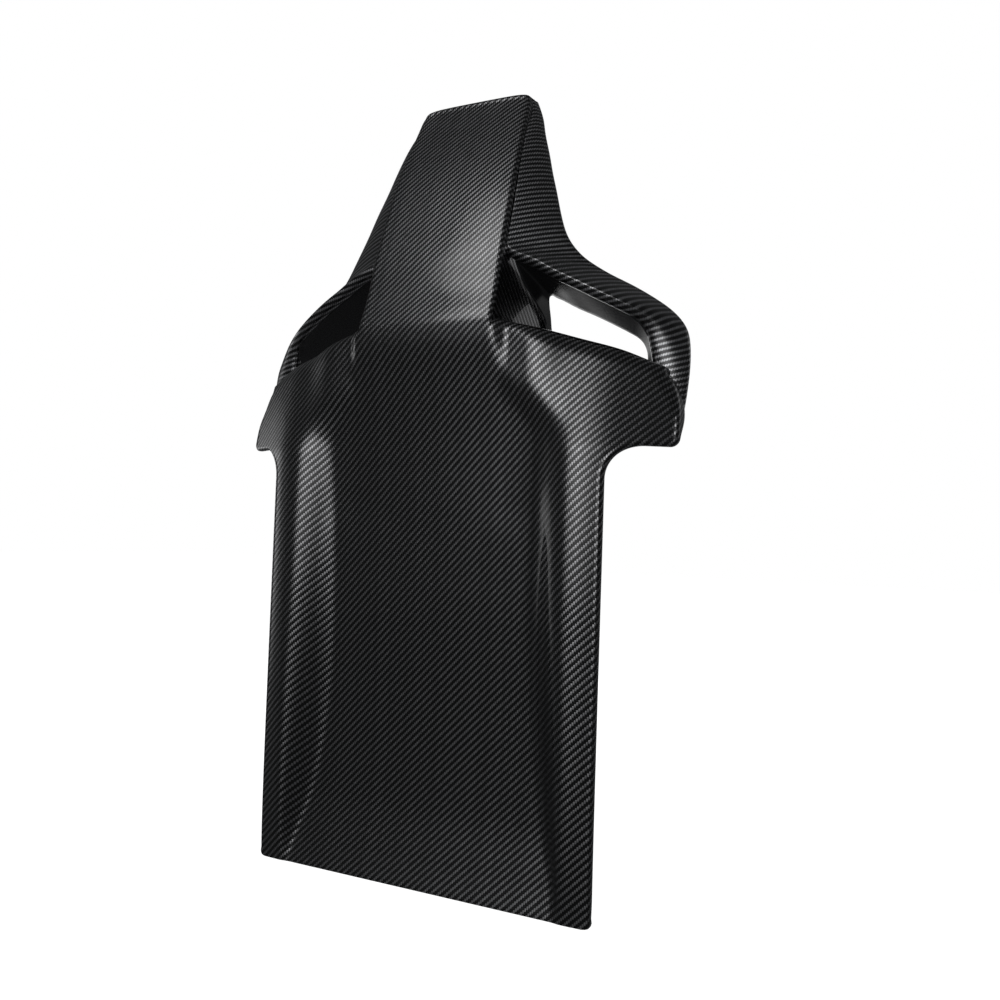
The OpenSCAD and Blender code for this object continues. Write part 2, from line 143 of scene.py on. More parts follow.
@dataclass(frozen=True)
class Fairing:
    """A fair curve through stations of (height, value), in millimetres."""

    stations: tuple[tuple[float, float], ...]
    softness: float = 7.0

    @cached_property
    def table(self) -> tuple[np.ndarray, np.ndarray]:
        """Heights and faired values, half a millimetre apart.

        Returns:
            The heights, and the value at each.
        """
        z, v = np.array(self.stations).T
        rate = np.gradient(v, z)
        rate[1:-1] = (v[2:] - v[:-2]) / (z[2:] - z[:-2])
        h = np.arange(z[0], z[-1] + 0.25, 0.5)
        i = np.clip(np.searchsorted(z, h, side="right") - 1, 0, len(z) - 2)
        w = z[i + 1] - z[i]
        y = cubic((h - z[i]) / w, v[i], v[i + 1], w * rate[i], w * rate[i + 1])
        return h, blurred(y, 2 * self.softness)

    def __call__(self, z: np.ndarray) -> np.ndarray:
        """Value of the curve at each height."""
        return np.interp(z, *self.table)


@dataclass(frozen=True)
class Rail:
    """A fair line in space through stations of (x, y, z), in millimetres."""

    stations: tuple[tuple[float, float, float], ...]
    softness: float = 0.4

    @cached_property
    def table(self) -> tuple[np.ndarray, np.ndarray]:
        """Station counts and faired points, twenty to a station.

        Returns:
            The counts, and the point at each.
        """
        p = np.array(self.stations)
        n = len(p) - 1
        u = np.linspace(0, n, 20 * n + 1)
        i = np.clip(u.astype(int), 0, n - 1)
        t = (u - i)[:, None]
        before, after = p[np.maximum(i - 1, 0)], p[np.minimum(i + 2, n)]
        a, b = p[i], p[i + 1]
        q = cubic(t, a, b, (b - before) / 2, (after - a) / 2)
        return u, blurred(q, 20 * self.softness)

    def __call__(self, u: np.ndarray) -> np.ndarray:
        """Points at the given station counts."""
        s, q = self.table
        return np.stack([np.interp(u, s, q[:, k]) for k in range(3)], axis=-1)


@dataclass
class Patch:
    """A grid of points that rise row by row and run towards +X column by column."""

    points: np.ndarray
    cloth: np.ndarray

    def mirrored(self) -> "Patch":
        """The same patch on the other side of the seat."""
        return Patch(self.points[:, ::-1] * MIRROR,
                     self.cloth[:, ::-1] * MIRROR[:2])


def mesh_from(name: str, patches: Sequence[Patch], finishes: Sequence[Material],
              weld: float = 0.03) -> bpy.types.Object:
    """Joins patches into one smooth mesh whose UV map lies on the cloth.

    Args:
        name: Name of the new object.
        patches: Grids in design millimetres.
        finishes: Materials, in the order of their slots.
        weld: Distance under which points of neighbouring patches become one, in mm.

    Returns:
        The object, at the frame's origin.
    """
    verts, faces, cloth = [], [], []
    start = 0
    for patch in patches:
        rows, cols = patch.points.shape[:2]
        verts.append((patch.points.reshape(-1, 3) - ORIGIN) * MM)
        cloth.append(patch.cloth.reshape(-1, 2))
        k = start + np.arange(rows * cols).reshape(rows, cols)
        quad = np.stack([k[:-1, :-1], k[:-1, 1:], k[1:, 1:], k[1:, :-1]], axis=-1)
        faces.append(quad.reshape(-1, 4))
        start += rows * cols
    mesh = bpy.data.meshes.new(name)
    mesh.from_pydata(np.concatenate(verts).tolist(), [], np.concatenate(faces).tolist())
    uv = np.concatenate(cloth)[np.concatenate(faces).ravel()]
    layer = mesh.uv_layers.new(name="cloth")
    layer.data.foreach_set("uv", uv.astype(np.float32).ravel())
    bm = bmesh.new()
    bm.from_mesh(mesh)
    bmesh.ops.remove_doubles(bm, verts=bm.verts, dist=weld * MM)
    bmesh.ops.dissolve_degenerate(bm, edges=bm.edges, dist=1e-6)
    bm.to_mesh(mesh)
    bm.free()
    mesh.shade_smooth()
    for finish in finishes:
        mesh.materials.append(finish)
    return linked(name, mesh)


def linked(name: str, mesh: bpy.types.Mesh) -> bpy.types.Object:
    """Puts a mesh in the scene as an object at the origin.

    Args:
        name: Name of the new object.
        mesh: Its mesh.

    Returns:
        The object.
    """
    obj = bpy.data.objects.new(name, mesh)
    bpy.context.scene.collection.objects.link(obj)
    return obj


def settled(obj: bpy.types.Object) -> bpy.types.Object:
    """Bakes an object's modifiers into its mesh and removes them.

    Args:
        obj: A mesh object with modifiers.

    Returns:
        The same object with a plain mesh.
    """
    bpy.context.view_layer.update()
    graph = bpy.context.evaluated_depsgraph_get()
    mesh = bpy.data.meshes.new_from_object(obj.evaluated_get(graph))
    old = obj.data
    obj.modifiers.clear()
    obj.data = mesh
    mesh.name = obj.name
    bpy.data.meshes.remove(old)
    return obj


def walled(obj: bpy.types.Object, wall: float) -> bpy.types.Object:
    """Gives an open skin its wall, inwards: slot 1 dresses the inside, slot 2 the cut edge.

    Args:
        obj: The skin, with three materials.
        wall: Thickness in mm.

    Returns:
        The walled object.
    """
    solid = obj.modifiers.new("wall", "SOLIDIFY")
    solid.thickness = wall * MM
    solid.offset = -1.0
    solid.use_quality_normals = True
    solid.material_offset = 1
    solid.material_offset_rim = 2
    return settled(obj)


def placed(obj: bpy.types.Object, slot: str, *nodes: str) -> bpy.types.Object:
    """Rides a finished piece on the body, and hides the frame nodes it stands for.

    Args:
        obj: The finished piece.
        slot: Material slot, named in the log.
        *nodes: Frame nodes that it replaces.

    Returns:
        The same object.
    """
    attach(obj, BODY)
    if nodes:
        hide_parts(*nodes)
    log.info("%s: %d faces, finish %s", obj.name, len(obj.data.polygons), slot)
    return obj


# ---------------------------------------------------------------- finishes


class Nodes:
    """A short way to write any node tree."""

    def __init__(self, tree: bpy.types.NodeTree, prefix: str = "ShaderNode",
                 emptied: bool = True) -> None:
        """Takes a tree.

        Args:
            tree: The tree to write.
            prefix: What the type name of its nodes starts with.
            emptied: Whether its nodes are removed first.
        """
        self.tree, self.prefix = tree, prefix
        if emptied:
            tree.nodes.clear()

    def node(self, kind: str, inputs: dict | None = None, **props: object) -> bpy.types.Node:
        """Adds a node.

        Args:
            kind: Type name after the prefix.
            inputs: Socket names or numbers to values or sockets.
            **props: Properties of the node.

        Returns:
            The node.
        """
        made = self.tree.nodes.new(self.prefix + kind)
        for key, value in props.items():
            setattr(made, key, value)
        for key, value in (inputs or {}).items():
            if isinstance(value, bpy.types.NodeSocket):
                self.tree.links.new(value, made.inputs[key])
            else:
                made.inputs[key].default_value = value
        return made


class Graph(Nodes):
    """A material's nodes."""

    def __init__(self, name: str) -> None:
        """Starts an empty material.

        Args:
            name: Name of the material.
        """
        self.material = bpy.data.materials.new(name)
        self.material.use_nodes = True
        super().__init__(self.material.node_tree)

    def math(self, op: str, *args: Socket | float) -> Socket:
        """A math node's result."""
        return self.node("Math", dict(enumerate(args)), operation=op).outputs[0]

    def mix(self, share: Socket | float, a: Socket | float, b: Socket | float) -> Socket:
        """a where share is 0 and b where it is 1."""
        return self.node("Mix", {0: share, 2: a, 3: b}).outputs[0]

    def ramp(self, value: Socket, low: float, high: float, a: float, b: float) -> Socket:
        """value between low and high, spread smoothly from a to b."""
        return self.node("MapRange", {0: value, 1: low, 2: high, 3: a, 4: b},
                         interpolation_type="SMOOTHSTEP").outputs[0]

    def place(self) -> Socket:
        """Object coordinates."""
        return self.node("TexCoord").outputs["Object"]

    def noise(self, at: Socket, scale: float, detail: float = 2.0, rough: float = 0.5) -> Socket:
        """Noise of the given scale, about 0..1."""
        return self.node("TexNoise", {"Vector": at, "Scale": scale, "Detail": detail,
                                      "Roughness": rough}).outputs["Fac"]

    def stretched(self, at: Socket, size: tuple[float, float, float]) -> Socket:
        """Coordinates scaled along each axis."""
        return self.node("Mapping", {"Vector": at, "Scale": size}).outputs[0]

    def tint(self, share: Socket, a: Sequence[float], b: Sequence[float]) -> Socket:
        """Colour a where share is 0 and colour b where it is 1."""
        return self.node("Mix", {0: share, 6: (*a, 1.0), 7: (*b, 1.0)}, data_type="RGBA").outputs[2]

    def bump(self, height: Socket, depth: float, normal: Socket | None = None) -> Socket:
        """Normal of a relief whose height 1 stands depth metres proud."""
        extra = {"Normal": normal} if normal else {}
        return self.node("Bump", {"Height": height, "Distance": depth, "Strength": 1.0,
                                  **extra}).outputs[0]

    def shader(self, inputs: dict) -> Material:
        """Finishes the material with one principled surface.

        Args:
            inputs: The surface's inputs, by socket name.

        Returns:
            The material.
        """
        self.node("OutputMaterial", {0: self.node("BsdfPrincipled", inputs).outputs[0]})
        return self.material


@dataclass(frozen=True)
class TwillCarbon:
    """Two-by-two twill of flat black tows, under clear lacquer or bare."""

    name: str
    lacquer: float = 1.0
    tow: float = 2.0
    fibre_roughness: float = 0.32
    # Warp tows are painted bright and weft tows dark: painted sheen for how each direction catches
    # light, though both are the same black fibre.
    warp_sheen_tone: float = 0.5
    weft_shade_tone: float = 0.042
    # Tows darken towards their ends and sides: partly the dark resin gaps between tows, partly
    # painted shade where each tow rolls away.
    gap_and_roll_shade_tone: float = 0.06
    relief: float = 0.00013
    anisotropy: float = 0.6
    sway: float = 0.9
    hair: tuple[float, float] = (13.0, 0.7)
    hair_spread: float = 0.28
    batch_spread: float = 0.12
    rounding: float = 0.55
    coolness: float = 1.03
    lacquer_roughness: float = 0.035
    lacquer_index: float = 1.5
    lacquer_ripple: float = 0.00004

    def material(self) -> Material:
        """Builds the weave from the piece's cloth map.

        Returns:
            The material.
        """
        g = Graph(self.name)
        uv = g.node("UVMap", uv_map="cloth").outputs[0]
        per_tow = (1 / self.tow,) * 3
        cloth = g.node("VectorMath", {0: uv, 1: per_tow}, operation="MULTIPLY").outputs[0]
        wander = g.noise(g.stretched(uv, (0.012, 0.012, 0.0)), 1.0, 1.0)
        sway = g.math("MULTIPLY", g.math("SUBTRACT", wander, 0.5), self.sway)
        parts = g.node("SeparateXYZ", {0: cloth})
        u, v = g.math("ADD", parts.outputs[0], sway), g.math("ADD", parts.outputs[1], sway)
        column, row = g.math("FLOOR", u), g.math("FLOOR", v)
        fu, fv = g.math("FRACT", u), g.math("FRACT", v)
        step = g.math("FLOORED_MODULO", g.math("SUBTRACT", column, row), 4.0)
        warp = g.math("LESS_THAN", step, 1.5)
        across = g.math("SUBTRACT", g.mix(warp, fv, fu), 0.5)
        up = g.math("MULTIPLY", g.math("SUBTRACT", g.math("ADD", fv, 1.0), step), 0.5)
        over = g.math("MULTIPLY", g.math("ADD", fu, g.math("SUBTRACT", step, 2.0)), 0.5)
        run = g.mix(warp, over, up)
        arch = g.math("POWER", g.math("SINE", g.math("MULTIPLY", run, math.pi)), 0.5)
        round_off = g.math("POWER", g.math("ABSOLUTE", g.math("MULTIPLY", across, 2.0)), 3.0)
        sides = g.math("SUBTRACT", 1.0, g.math("MULTIPLY", round_off, self.rounding))
        body = g.math("MULTIPLY", arch, sides)
        fine, long = self.hair
        warp_hair = g.noise(g.stretched(cloth, (fine, long, 0.0)), 1.0, 2.0)
        weft_hair = g.noise(g.stretched(cloth, (long, fine, 0.0)), 1.0, 2.0)
        hair = g.mix(warp, weft_hair, warp_hair)
        # Darkens each tow towards its ends and sides: dark resin gaps, and painted shade where the
        # tow rolls away.
        gap = g.ramp(body, 0.2, 0.85, self.gap_and_roll_shade_tone, 1.0)
        # Painted sheen: warp tows get a bright colour and weft tows a dark one, though both are the
        # same black fibre. The hair and batch variation below is the fibre's own.
        tone = g.math("MULTIPLY", g.mix(warp, self.weft_shade_tone, self.warp_sheen_tone), gap)
        tow_id = g.node("CombineXYZ", {0: g.mix(warp, 91.0, column), 1: g.mix(warp, row, 37.0)})
        batch = g.node("TexWhiteNoise", {0: tow_id.outputs[0]}, noise_dimensions="3D").outputs[0]
        for signal, low, high, spread in ((hair, 0.25, 0.75, self.hair_spread),
                                          (batch, 0.0, 1.0, self.batch_spread)):
            vary = g.ramp(signal, low, high, 1.0 - spread, 1.0 + spread)
            tone = g.math("MULTIPLY", tone, vary)
        cool = g.math("MULTIPLY", tone, self.coolness)
        colour = g.node("CombineColor", {0: tone, 1: tone, 2: cool}).outputs[0]
        height = g.math("ADD", body, g.math("MULTIPLY", hair, 0.05))
        ripple = g.bump(g.noise(g.place(), 55.0, 1.0), self.lacquer_ripple)
        rough = self.fibre_roughness
        inputs = {
            "Base Color": colour,
            "Metallic": 1.0,
            "Roughness": g.ramp(hair, 0.2, 0.8, rough - 0.05, rough + 0.07),
            "Anisotropic": self.anisotropy,
            "Anisotropic Rotation": g.math("MULTIPLY", warp, 0.25),
            "Tangent": g.node("Tangent", direction_type="UV_MAP", uv_map="cloth").outputs[0],
            "Normal": g.bump(height, self.relief),
        }
        if self.lacquer > 0:
            inputs.update({"Coat Weight": self.lacquer, "Coat Roughness": self.lacquer_roughness,
                           "Coat IOR": self.lacquer_index, "Coat Normal": ripple})
        return g.shader(inputs)


@dataclass(frozen=True)
class Moulding:
    """Moulded, bonded or pressed matter with a fine grain."""

    name: str
    dark: tuple[float, float, float]
    light: tuple[float, float, float]
    grain: float = 900.0
    depth: float = 0.00003
    roughness: float = 0.5
    cloudiness: float = 14.0

    def material(self) -> Material:
        """Builds the finish.

        Returns:
            The material.
        """
        g = Graph(self.name)
        at = g.place()
        cloud, grain = g.noise(at, self.cloudiness, 4.0), g.noise(at, self.grain, 3.0, 0.6)
        share = g.mix(0.35, g.ramp(cloud, 0.3, 0.7, 0.0, 1.0), g.ramp(grain, 0.3, 0.7, 0.0, 1.0))
        return g.shader({
            "Base Color": g.tint(share, self.dark, self.light),
            "Roughness": g.ramp(grain, 0.2, 0.8, self.roughness - 0.06, self.roughness + 0.08),
            "Normal": g.bump(grain, self.depth),
        })


@dataclass(frozen=True)
class Metal:
    """Sheet, plate or wire metal with rolling lines and handling marks."""

    name: str
    dark: tuple[float, float, float]
    light: tuple[float, float, float]
    roughness: float = 0.3
    lines: tuple[float, float, float] = (30.0, 900.0, 900.0)
    tone: Tone = Tone.METAL

    def material(self) -> Material:
        """Builds the finish.

        Returns:
            The material.
        """
        g = Graph(self.name)
        at = g.place()
        line = g.noise(g.stretched(at, self.lines), 1.0, 3.0, 0.6)
        cloud = g.noise(at, 45.0, 5.0, 0.6)
        share = g.mix(0.5, g.ramp(line, 0.3, 0.7, 0.0, 1.0), g.ramp(cloud, 0.35, 0.65, 0.0, 1.0))
        return g.shader({
            "Base Color": g.tint(share, self.dark, self.light),
            "Metallic": self.tone.value,
            "Roughness": g.ramp(cloud, 0.3, 0.7, self.roughness - 0.06, self.roughness + 0.1),
            "Normal": g.bump(line, 0.000012),
        })


@dataclass(frozen=True)
class PlyEdge:
    """The trimmed edge of a laminate, with its plies as faint lines."""

    name: str = "trimmed_edge"
    ply: float = 0.0004

    def material(self) -> Material:
        """Builds the finish.

        Returns:
            The material.
        """
        g = Graph(self.name)
        parts = g.node("SeparateXYZ", {0: g.place()})
        plies = g.math("SINE", g.math("MULTIPLY", parts.outputs[1], 2 * math.pi / self.ply))
        speck = g.noise(g.place(), 1500.0, 2.0)
        share = g.math("MULTIPLY", g.ramp(plies, -1.0, 1.0, 0.2, 1.0), speck)
        return g.shader({
            "Base Color": g.tint(share, (0.008, 0.008, 0.009), (0.035, 0.035, 0.037)),
            "Roughness": g.ramp(speck, 0.2, 0.8, 0.3, 0.5),
            "Normal": g.bump(speck, 0.00002),
        })


@dataclass(frozen=True)
class Felt:
    """Needle felt: matted fibres with no direction."""

    name: str = "needle_felt"
    dark: tuple[float, float, float] = (0.02, 0.02, 0.023)
    light: tuple[float, float, float] = (0.1, 0.1, 0.108)

    def material(self) -> Material:
        """Builds the finish.

        Returns:
            The material.
        """
        g = Graph(self.name)
        at = g.place()
        fibres = g.noise(g.stretched(at, (1600.0, 500.0, 900.0)), 1.0, 4.0, 0.7)
        cross = g.noise(g.stretched(at, (500.0, 900.0, 1700.0)), 1.0, 4.0, 0.7)
        mat = g.math("MAXIMUM", fibres, cross)
        return g.shader({
            "Base Color": g.tint(g.ramp(mat, 0.4, 0.75, 0.0, 1.0), self.dark, self.light),
            "Roughness": 0.95,
            "Sheen Weight": 0.35,
            "Sheen Roughness": 0.4,
            "Normal": g.bump(mat, 0.0004),
        })


def worked(finish: TwillCarbon | Moulding | Metal | PlyEdge | Felt) -> Material:
    """A field whose material is built when the finishes are.

    Args:
        finish: What the material is built from.

    Returns:
        The field.
    """
    return field(default_factory=finish.material)


@dataclass
class Finishes:
    """Every finish of the shell, made once."""

    lacquered: Material = worked(TwillCarbon("lacquered_twill"))
    # The wing's twill is a brighter copy of the same twill: stronger painted sheen on its tows.
    wing: Material = worked(TwillCarbon("wing_twill", warp_sheen_tone=0.7, weft_shade_tone=0.06))
    bare: Material = worked(TwillCarbon(
        "bare_twill", lacquer=0.0, fibre_roughness=0.5, relief=0.00014))
    edge: Material = worked(PlyEdge())
    liner: Material = worked(Moulding(
        "slot_liner", (0.024, 0.024, 0.026), (0.04, 0.04, 0.043), depth=0.00001, roughness=0.26))
    adhesive: Material = worked(Moulding(
        "cured_adhesive", (0.02, 0.02, 0.019), (0.06, 0.06, 0.057), 220.0, 0.00025, 0.55, 40.0))
    nylon: Material = worked(Moulding(
        "glass_filled_nylon", (0.012, 0.012, 0.012), (0.035, 0.035, 0.036), 1400.0, 0.00003, 0.48))
    raw: Material = worked(Moulding(
        "peel_ply_laminate", (0.03, 0.03, 0.031), (0.1, 0.1, 0.104), 1100.0, 0.00008, 0.55))
    aluminium: Material = worked(Metal(
        "mill_aluminium", (0.5, 0.51, 0.53), (0.74, 0.75, 0.77), 0.32))
    e_coat: Material = worked(Metal(
        "e_coated_steel", (0.012, 0.012, 0.014), (0.035, 0.035, 0.038), 0.4,
        (300.0, 300.0, 300.0), Tone.DULL))
    zinc: Material = worked(Metal(
        "zinc_plate", (0.42, 0.4, 0.34), (0.72, 0.71, 0.66), 0.3, (400.0, 60.0, 400.0)))
    spring: Material = worked(Metal(
        "phosphated_spring_steel", (0.1, 0.1, 0.11), (0.26, 0.26, 0.28), 0.45))
    felt: Material = worked(Felt())


# ---------------------------------------------------------------- the moulding


@dataclass
class BackShell:
    """Panel, shoulders and head spine: one laminate, lacquered outside and bare inside."""

    finishes: Finishes
    panel_half: float = 203.5
    wall: float = 2.6
    corner: float = 5.5
    flange: float = 8.0
    outer_flange: float = 22.0
    shoulder_half: float = 268.5
    shoulder_z: float = 478.0
    notch: float = 38.0
    lip: float = 44.0
    foot_z: float = 595.0
    head_z: float = 881.0
    head_rise: float = 6.0
    head_roll: float = 6.0
    edge_roll: float = 4.0
    spine_roll: float = 3.0
    face_columns: int = 34
    foot_columns: int = 16
    field_columns: int = 56
    roll_steps: int = 9
    run_steps: int = 8
    wall_columns: int = 22
    foot_wide: float = 20.0
    lip_roll: float = 9.0
    foot_flare: float = 11.0
    relief_step: float = 1.5
    border_rise: float = 10.0
    border_run: float = 60.0
    border_x: float = 168.0
    border_bend: float = 30.0
    hub_x: float = 90.0
    recess_top: float = 480.0
    recess_round: float = 70.0
    spine_y: Fairing = Fairing((
        (0, 1), (30, 9), (85, 19), (185, 21), (300, 15), (390, 10), (477, 2), (541, -9.5),
        (575, -18), (597, -21.5), (643, -6), (690, 6), (788, 40), (881, 82.9)), 8.0)
    floor_y: Fairing = Fairing((
        (0, 1), (30, 9), (85, 19), (185, 21), (300, 15), (390, 10.5), (477, 4), (520, -2.5),
        (560, -7.5), (600, -9)), 8.0)
    spine_x: Fairing = Fairing((
        (380, 86), (541, 84.4), (592, 83), (643, 81.7), (689, 81), (788, 77.9), (881, 71)))
    floor_x: Fairing = Fairing((
        (0, 163), (28, 160), (85, 142), (184, 126), (300, 119), (391, 120), (477, 123),
        (600, 124)), 10.0)
    ridge_x: Fairing = Fairing((
        (0, 173), (86, 174), (183, 173.5), (297, 170), (389, 169), (476, 168), (600, 166)))
    blend_w: Fairing = Fairing(((380, 60), (477, 50), (518, 38), (541, 20), (600, 15)))
    wall_y: Fairing = Fairing((
        (596, 90), (613, 122), (627, 116), (641, 90), (656, 58), (673, 34), (705, 24),
        (788, 18), (881, 14)), 3.0)

    @staticmethod
    def dish(x: np.ndarray) -> np.ndarray:
        """How far the spine's face curves forwards away from its middle, in mm."""
        return 1.6 * x * x / 7000

    def side_roll(self, z: np.ndarray) -> np.ndarray:
        """Radius of the side's edge roll, tighter at the bottom corner, in mm."""
        return self.edge_roll * np.where(z < 6, 0.8, 1.0)

    def raw_back_y(self, x: np.ndarray, z: np.ndarray) -> np.ndarray:
        """Depth of the panel and shoulders before it is faired.

        Args:
            x: Distance from the middle plane, in mm.
            z: Height, in mm.

        Returns:
            Depth, in mm.
        """
        ridge = -self.border_rise * (1 - np.exp(-np.maximum(z, 0) / self.border_run))
        d, bend = np.maximum(0, x - self.border_x), self.border_bend
        crown = (1.5 - ridge) / 11.4
        border = (ridge + crown * 0.6 * (np.sqrt(d * d + bend * bend) - bend)
                  + 0.2 * np.maximum(0, z - 470) * ease((x - 120) / 60))
        hub, rx, fx = self.hub_x, self.ridge_x(z), self.floor_x(z)
        rho = np.hypot(np.maximum(0, x - hub) / (rx - hub),
                       np.maximum(0, z - self.recess_top) / self.recess_round)
        inner = (fx - hub) / (rx - hub)
        base = border + (self.floor_y(z) - border) * (1 - ease((rho - inner) / (1 - inner)))
        share = 1 - ease((x - self.spine_x(z)) / self.blend_w(z))
        spine = self.spine_y(z) + self.dish(x)
        fade = ease((z - 375) / 40)
        return base + (spine - base) * share * fade

    @cached_property
    def relief(self) -> tuple[np.ndarray, np.ndarray, np.ndarray]:
        """The faired depth over a grid of x and z, in mm.

        Returns:
            The grid's x, its z, and the depths, row by row.
        """
        x = np.arange(0.0, 300.0, self.relief_step)
        z = np.arange(-30.0, 640.0, self.relief_step)
        full = np.concatenate([-x[:0:-1], x])
        depth = self.raw_back_y(np.abs(full)[None, :], z[:, None])
        depth = blurred(blurred(depth, 1.8).T, 1.3).T
        return x, z, depth[:, len(x) - 1:]

    def back_y(self, x: np.ndarray, z: np.ndarray) -> np.ndarray:
        """Depth of the faired back face.

        Args:
            x: Place across the seat, in mm.
            z: Height, in mm.

        Returns:
            Depth, in mm.
        """
        gx, gz, depth = self.relief
        ax, z = np.broadcast_arrays(np.abs(x), z)
        fx = np.clip((ax - gx[0]) / self.relief_step, 0, len(gx) - 1.001)
        fz = np.clip((z - gz[0]) / self.relief_step, 0, len(gz) - 1.001)
        i, j = fz.astype(int), fx.astype(int)
        s, t = fz - i, fx - j
        return ((1 - s) * ((1 - t) * depth[i, j] + t * depth[i, j + 1])
                + s * ((1 - t) * depth[i + 1, j] + t * depth[i + 1, j + 1]))

    def ridge_z(self, x: np.ndarray) -> np.ndarray:
        """Height where the shoulder starts to roll forwards."""
        return self.foot_z - 38 * (np.maximum(0, x - 88) / 150) ** 1.15

    @cached_property
    def border(self) -> np.ndarray:
        """Rows of (height at the middle, x of the edge, z of the edge), bottom to top.

        Returns:
            The rows, in mm.
        """
        r, w, n = self.corner, self.panel_half, self.notch
        a = np.radians(np.linspace(0, 90, 12))
        rows = [np.stack([r * (1 - np.cos(a)), w - r + r * np.sin(a), r * (1 - np.cos(a))], -1)]
        z = np.linspace(r, 436, 110)[1:]
        rows.append(np.stack([z, np.full_like(z, w), z], -1))
        a = np.linspace(0, 90, 26)
        rows.append(np.stack([446 + a / 2, w + n * (1 - np.cos(np.radians(a))),
                              self.shoulder_z - n + n * np.sin(np.radians(a))], -1))
        t = np.linspace(0, 1, 9)[1:]
        end = self.shoulder_half - 5
        rows.append(np.stack([491 + 20 * t, w + n + (end - w - n) * t,
                              np.full_like(t, self.shoulder_z)], -1))
        a = np.linspace(0, 90, 9)[1:]
        rows.append(np.stack([511 + a / 4.5, end + 5 * np.sin(np.radians(a)),
                              self.shoulder_z + 5 * (1 - np.cos(np.radians(a)))], -1))
        h = self.shoulder_half
        outer = Rail((
            (531, h, 483), (537, h, 493), (546, h - 0.5, 506), (555, h - 2.2, 518),
            (564, h - 5.2, 529), (573, h - 9.7, 539), (583, h - 15.7, 547),
            (595, h - 22.7, float(self.ridge_z(np.array(h - 22.7))))))
        rows.append(outer(np.linspace(0, 7, 42))[1:])
        return np.concatenate(rows)

    def rolls(self, path: np.ndarray,
              on_side: np.ndarray) -> tuple[np.ndarray, np.ndarray, np.ndarray]:
        """How the edge turns forwards: a circle that starts inside the sheet.

        Args:
            path: Points of the sheet's edge.
            on_side: True for points of the side, False for points of the top.

        Returns:
            Radius of the circle, how far it stands outside the sheet, and its starting angle.
        """
        x, z = path[:, 0], path[:, 2]
        grow = ease((x - 200) / 50)
        lip = self.lip_roll
        stand = np.where(on_side, self.side_roll(z), lip + (self.edge_roll - lip) * grow)
        wide = np.where(on_side, stand + 8 * ease((z - 500) / 30),
                        lip + 9 * ease((x - 95) / 35) - 6 * grow)
        stand, wide = blurred(stand, 3.0), blurred(wide, 3.0)
        return wide, stand, np.arcsin(np.clip(1 - stand / wide, 0, 1))

    def eased_edge(self, points: np.ndarray, path: np.ndarray, on_side: np.ndarray) -> np.ndarray:
        """Lets the sheet fall forwards into its edge roll.

        Args:
            points: Points of the right-hand half.
            path: Points of the sheet's edge.
            on_side: True for points of the side, False for points of the top.

        Returns:
            The change of depth at each point, in mm.
        """
        wide, _, start = self.rolls(path, on_side)
        flat = points[..., [0, 2]].reshape(-1, 1, 2)
        a, b = path[None, :-1, [0, 2]], path[None, 1:, [0, 2]]
        span = b - a
        t = ((flat - a) * span).sum(-1) / np.maximum((span * span).sum(-1), 1e-9)
        t = np.clip(t, 0, 1)
        gap = np.linalg.norm(flat - a - t[..., None] * span, axis=-1)
        near = gap.argmin(axis=1)
        pick = np.arange(len(near))
        gap, share = gap[pick, near], near + t[pick, near]
        index = np.arange(len(path))
        r, first = np.interp(share, index, wide), np.interp(share, index, start)
        inset = np.clip(r * np.sin(first) - gap, 0, None)
        return (r - np.sqrt(np.maximum(r * r - inset * inset, 0))).reshape(points.shape[:2])

    def edge_path(self, half: np.ndarray) -> tuple[np.ndarray, np.ndarray]:
        """The right-hand edge of the sheet.

        Args:
            half: Points of the right-hand half.

        Returns:
            The edge's points, and which of them are on the side.
        """
        side, top = half[:, -1], half[-1, self.face_columns:-1][::-1]
        path = np.concatenate([side, top])
        return path, np.arange(len(path)) < len(side)

    def sheet(self) -> Patch:
        """Panel and shoulders as one grid over the whole width.

        Returns:
            The grid.
        """
        rows = self.border
        tail = ease((rows[:, 0] - 583) / 12)[:, None]
        zc, ez = rows[:, :1], rows[:, 2:]
        ex = rows[:, 1:2] - self.side_roll(zc) * (1 - tail)

        def column_x(z: np.ndarray) -> np.ndarray:
            """Where each column stands at the heights z.

            Args:
                z: Heights, one row of the grid to a row.

            Returns:
                Every column's x, in mm.
            """
            xs = self.spine_x(z)
            f = np.linspace(0, 1, self.face_columns + 1)
            g = np.linspace(0, 1, self.foot_columns + 1)[1:]
            h = np.linspace(0, 1, self.field_columns + 1)[1:]
            a, b = self.face_columns + 1, self.face_columns + self.foot_columns + 1
            wide = self.foot_wide
            return np.concatenate([xs[:, :a] * f, xs[:, a:b] + wide * g,
                                   (xs[:, b:] + wide) * (1 - h) + ex * h], axis=1)

        total = self.face_columns + self.foot_columns + self.field_columns + 1
        z = np.repeat(zc, total, axis=1)
        x0 = column_x(z)
        low = zc + (ez - zc) * (x0 / ex) ** 1.6
        z = low + (self.ridge_z(x0) - low) * tail
        x = column_x(z)
        y = self.back_y(x, z)
        half = np.stack([x, y, z], axis=-1)
        half[..., 1] += self.eased_edge(half, *self.edge_path(half))
        left = half[:, :0:-1] * MIRROR
        points = np.concatenate([left, half], axis=1)
        log.info("sheet: %d rows, %d columns", *points.shape[:2])
        return Patch(points, points[..., [0, 2]].copy())

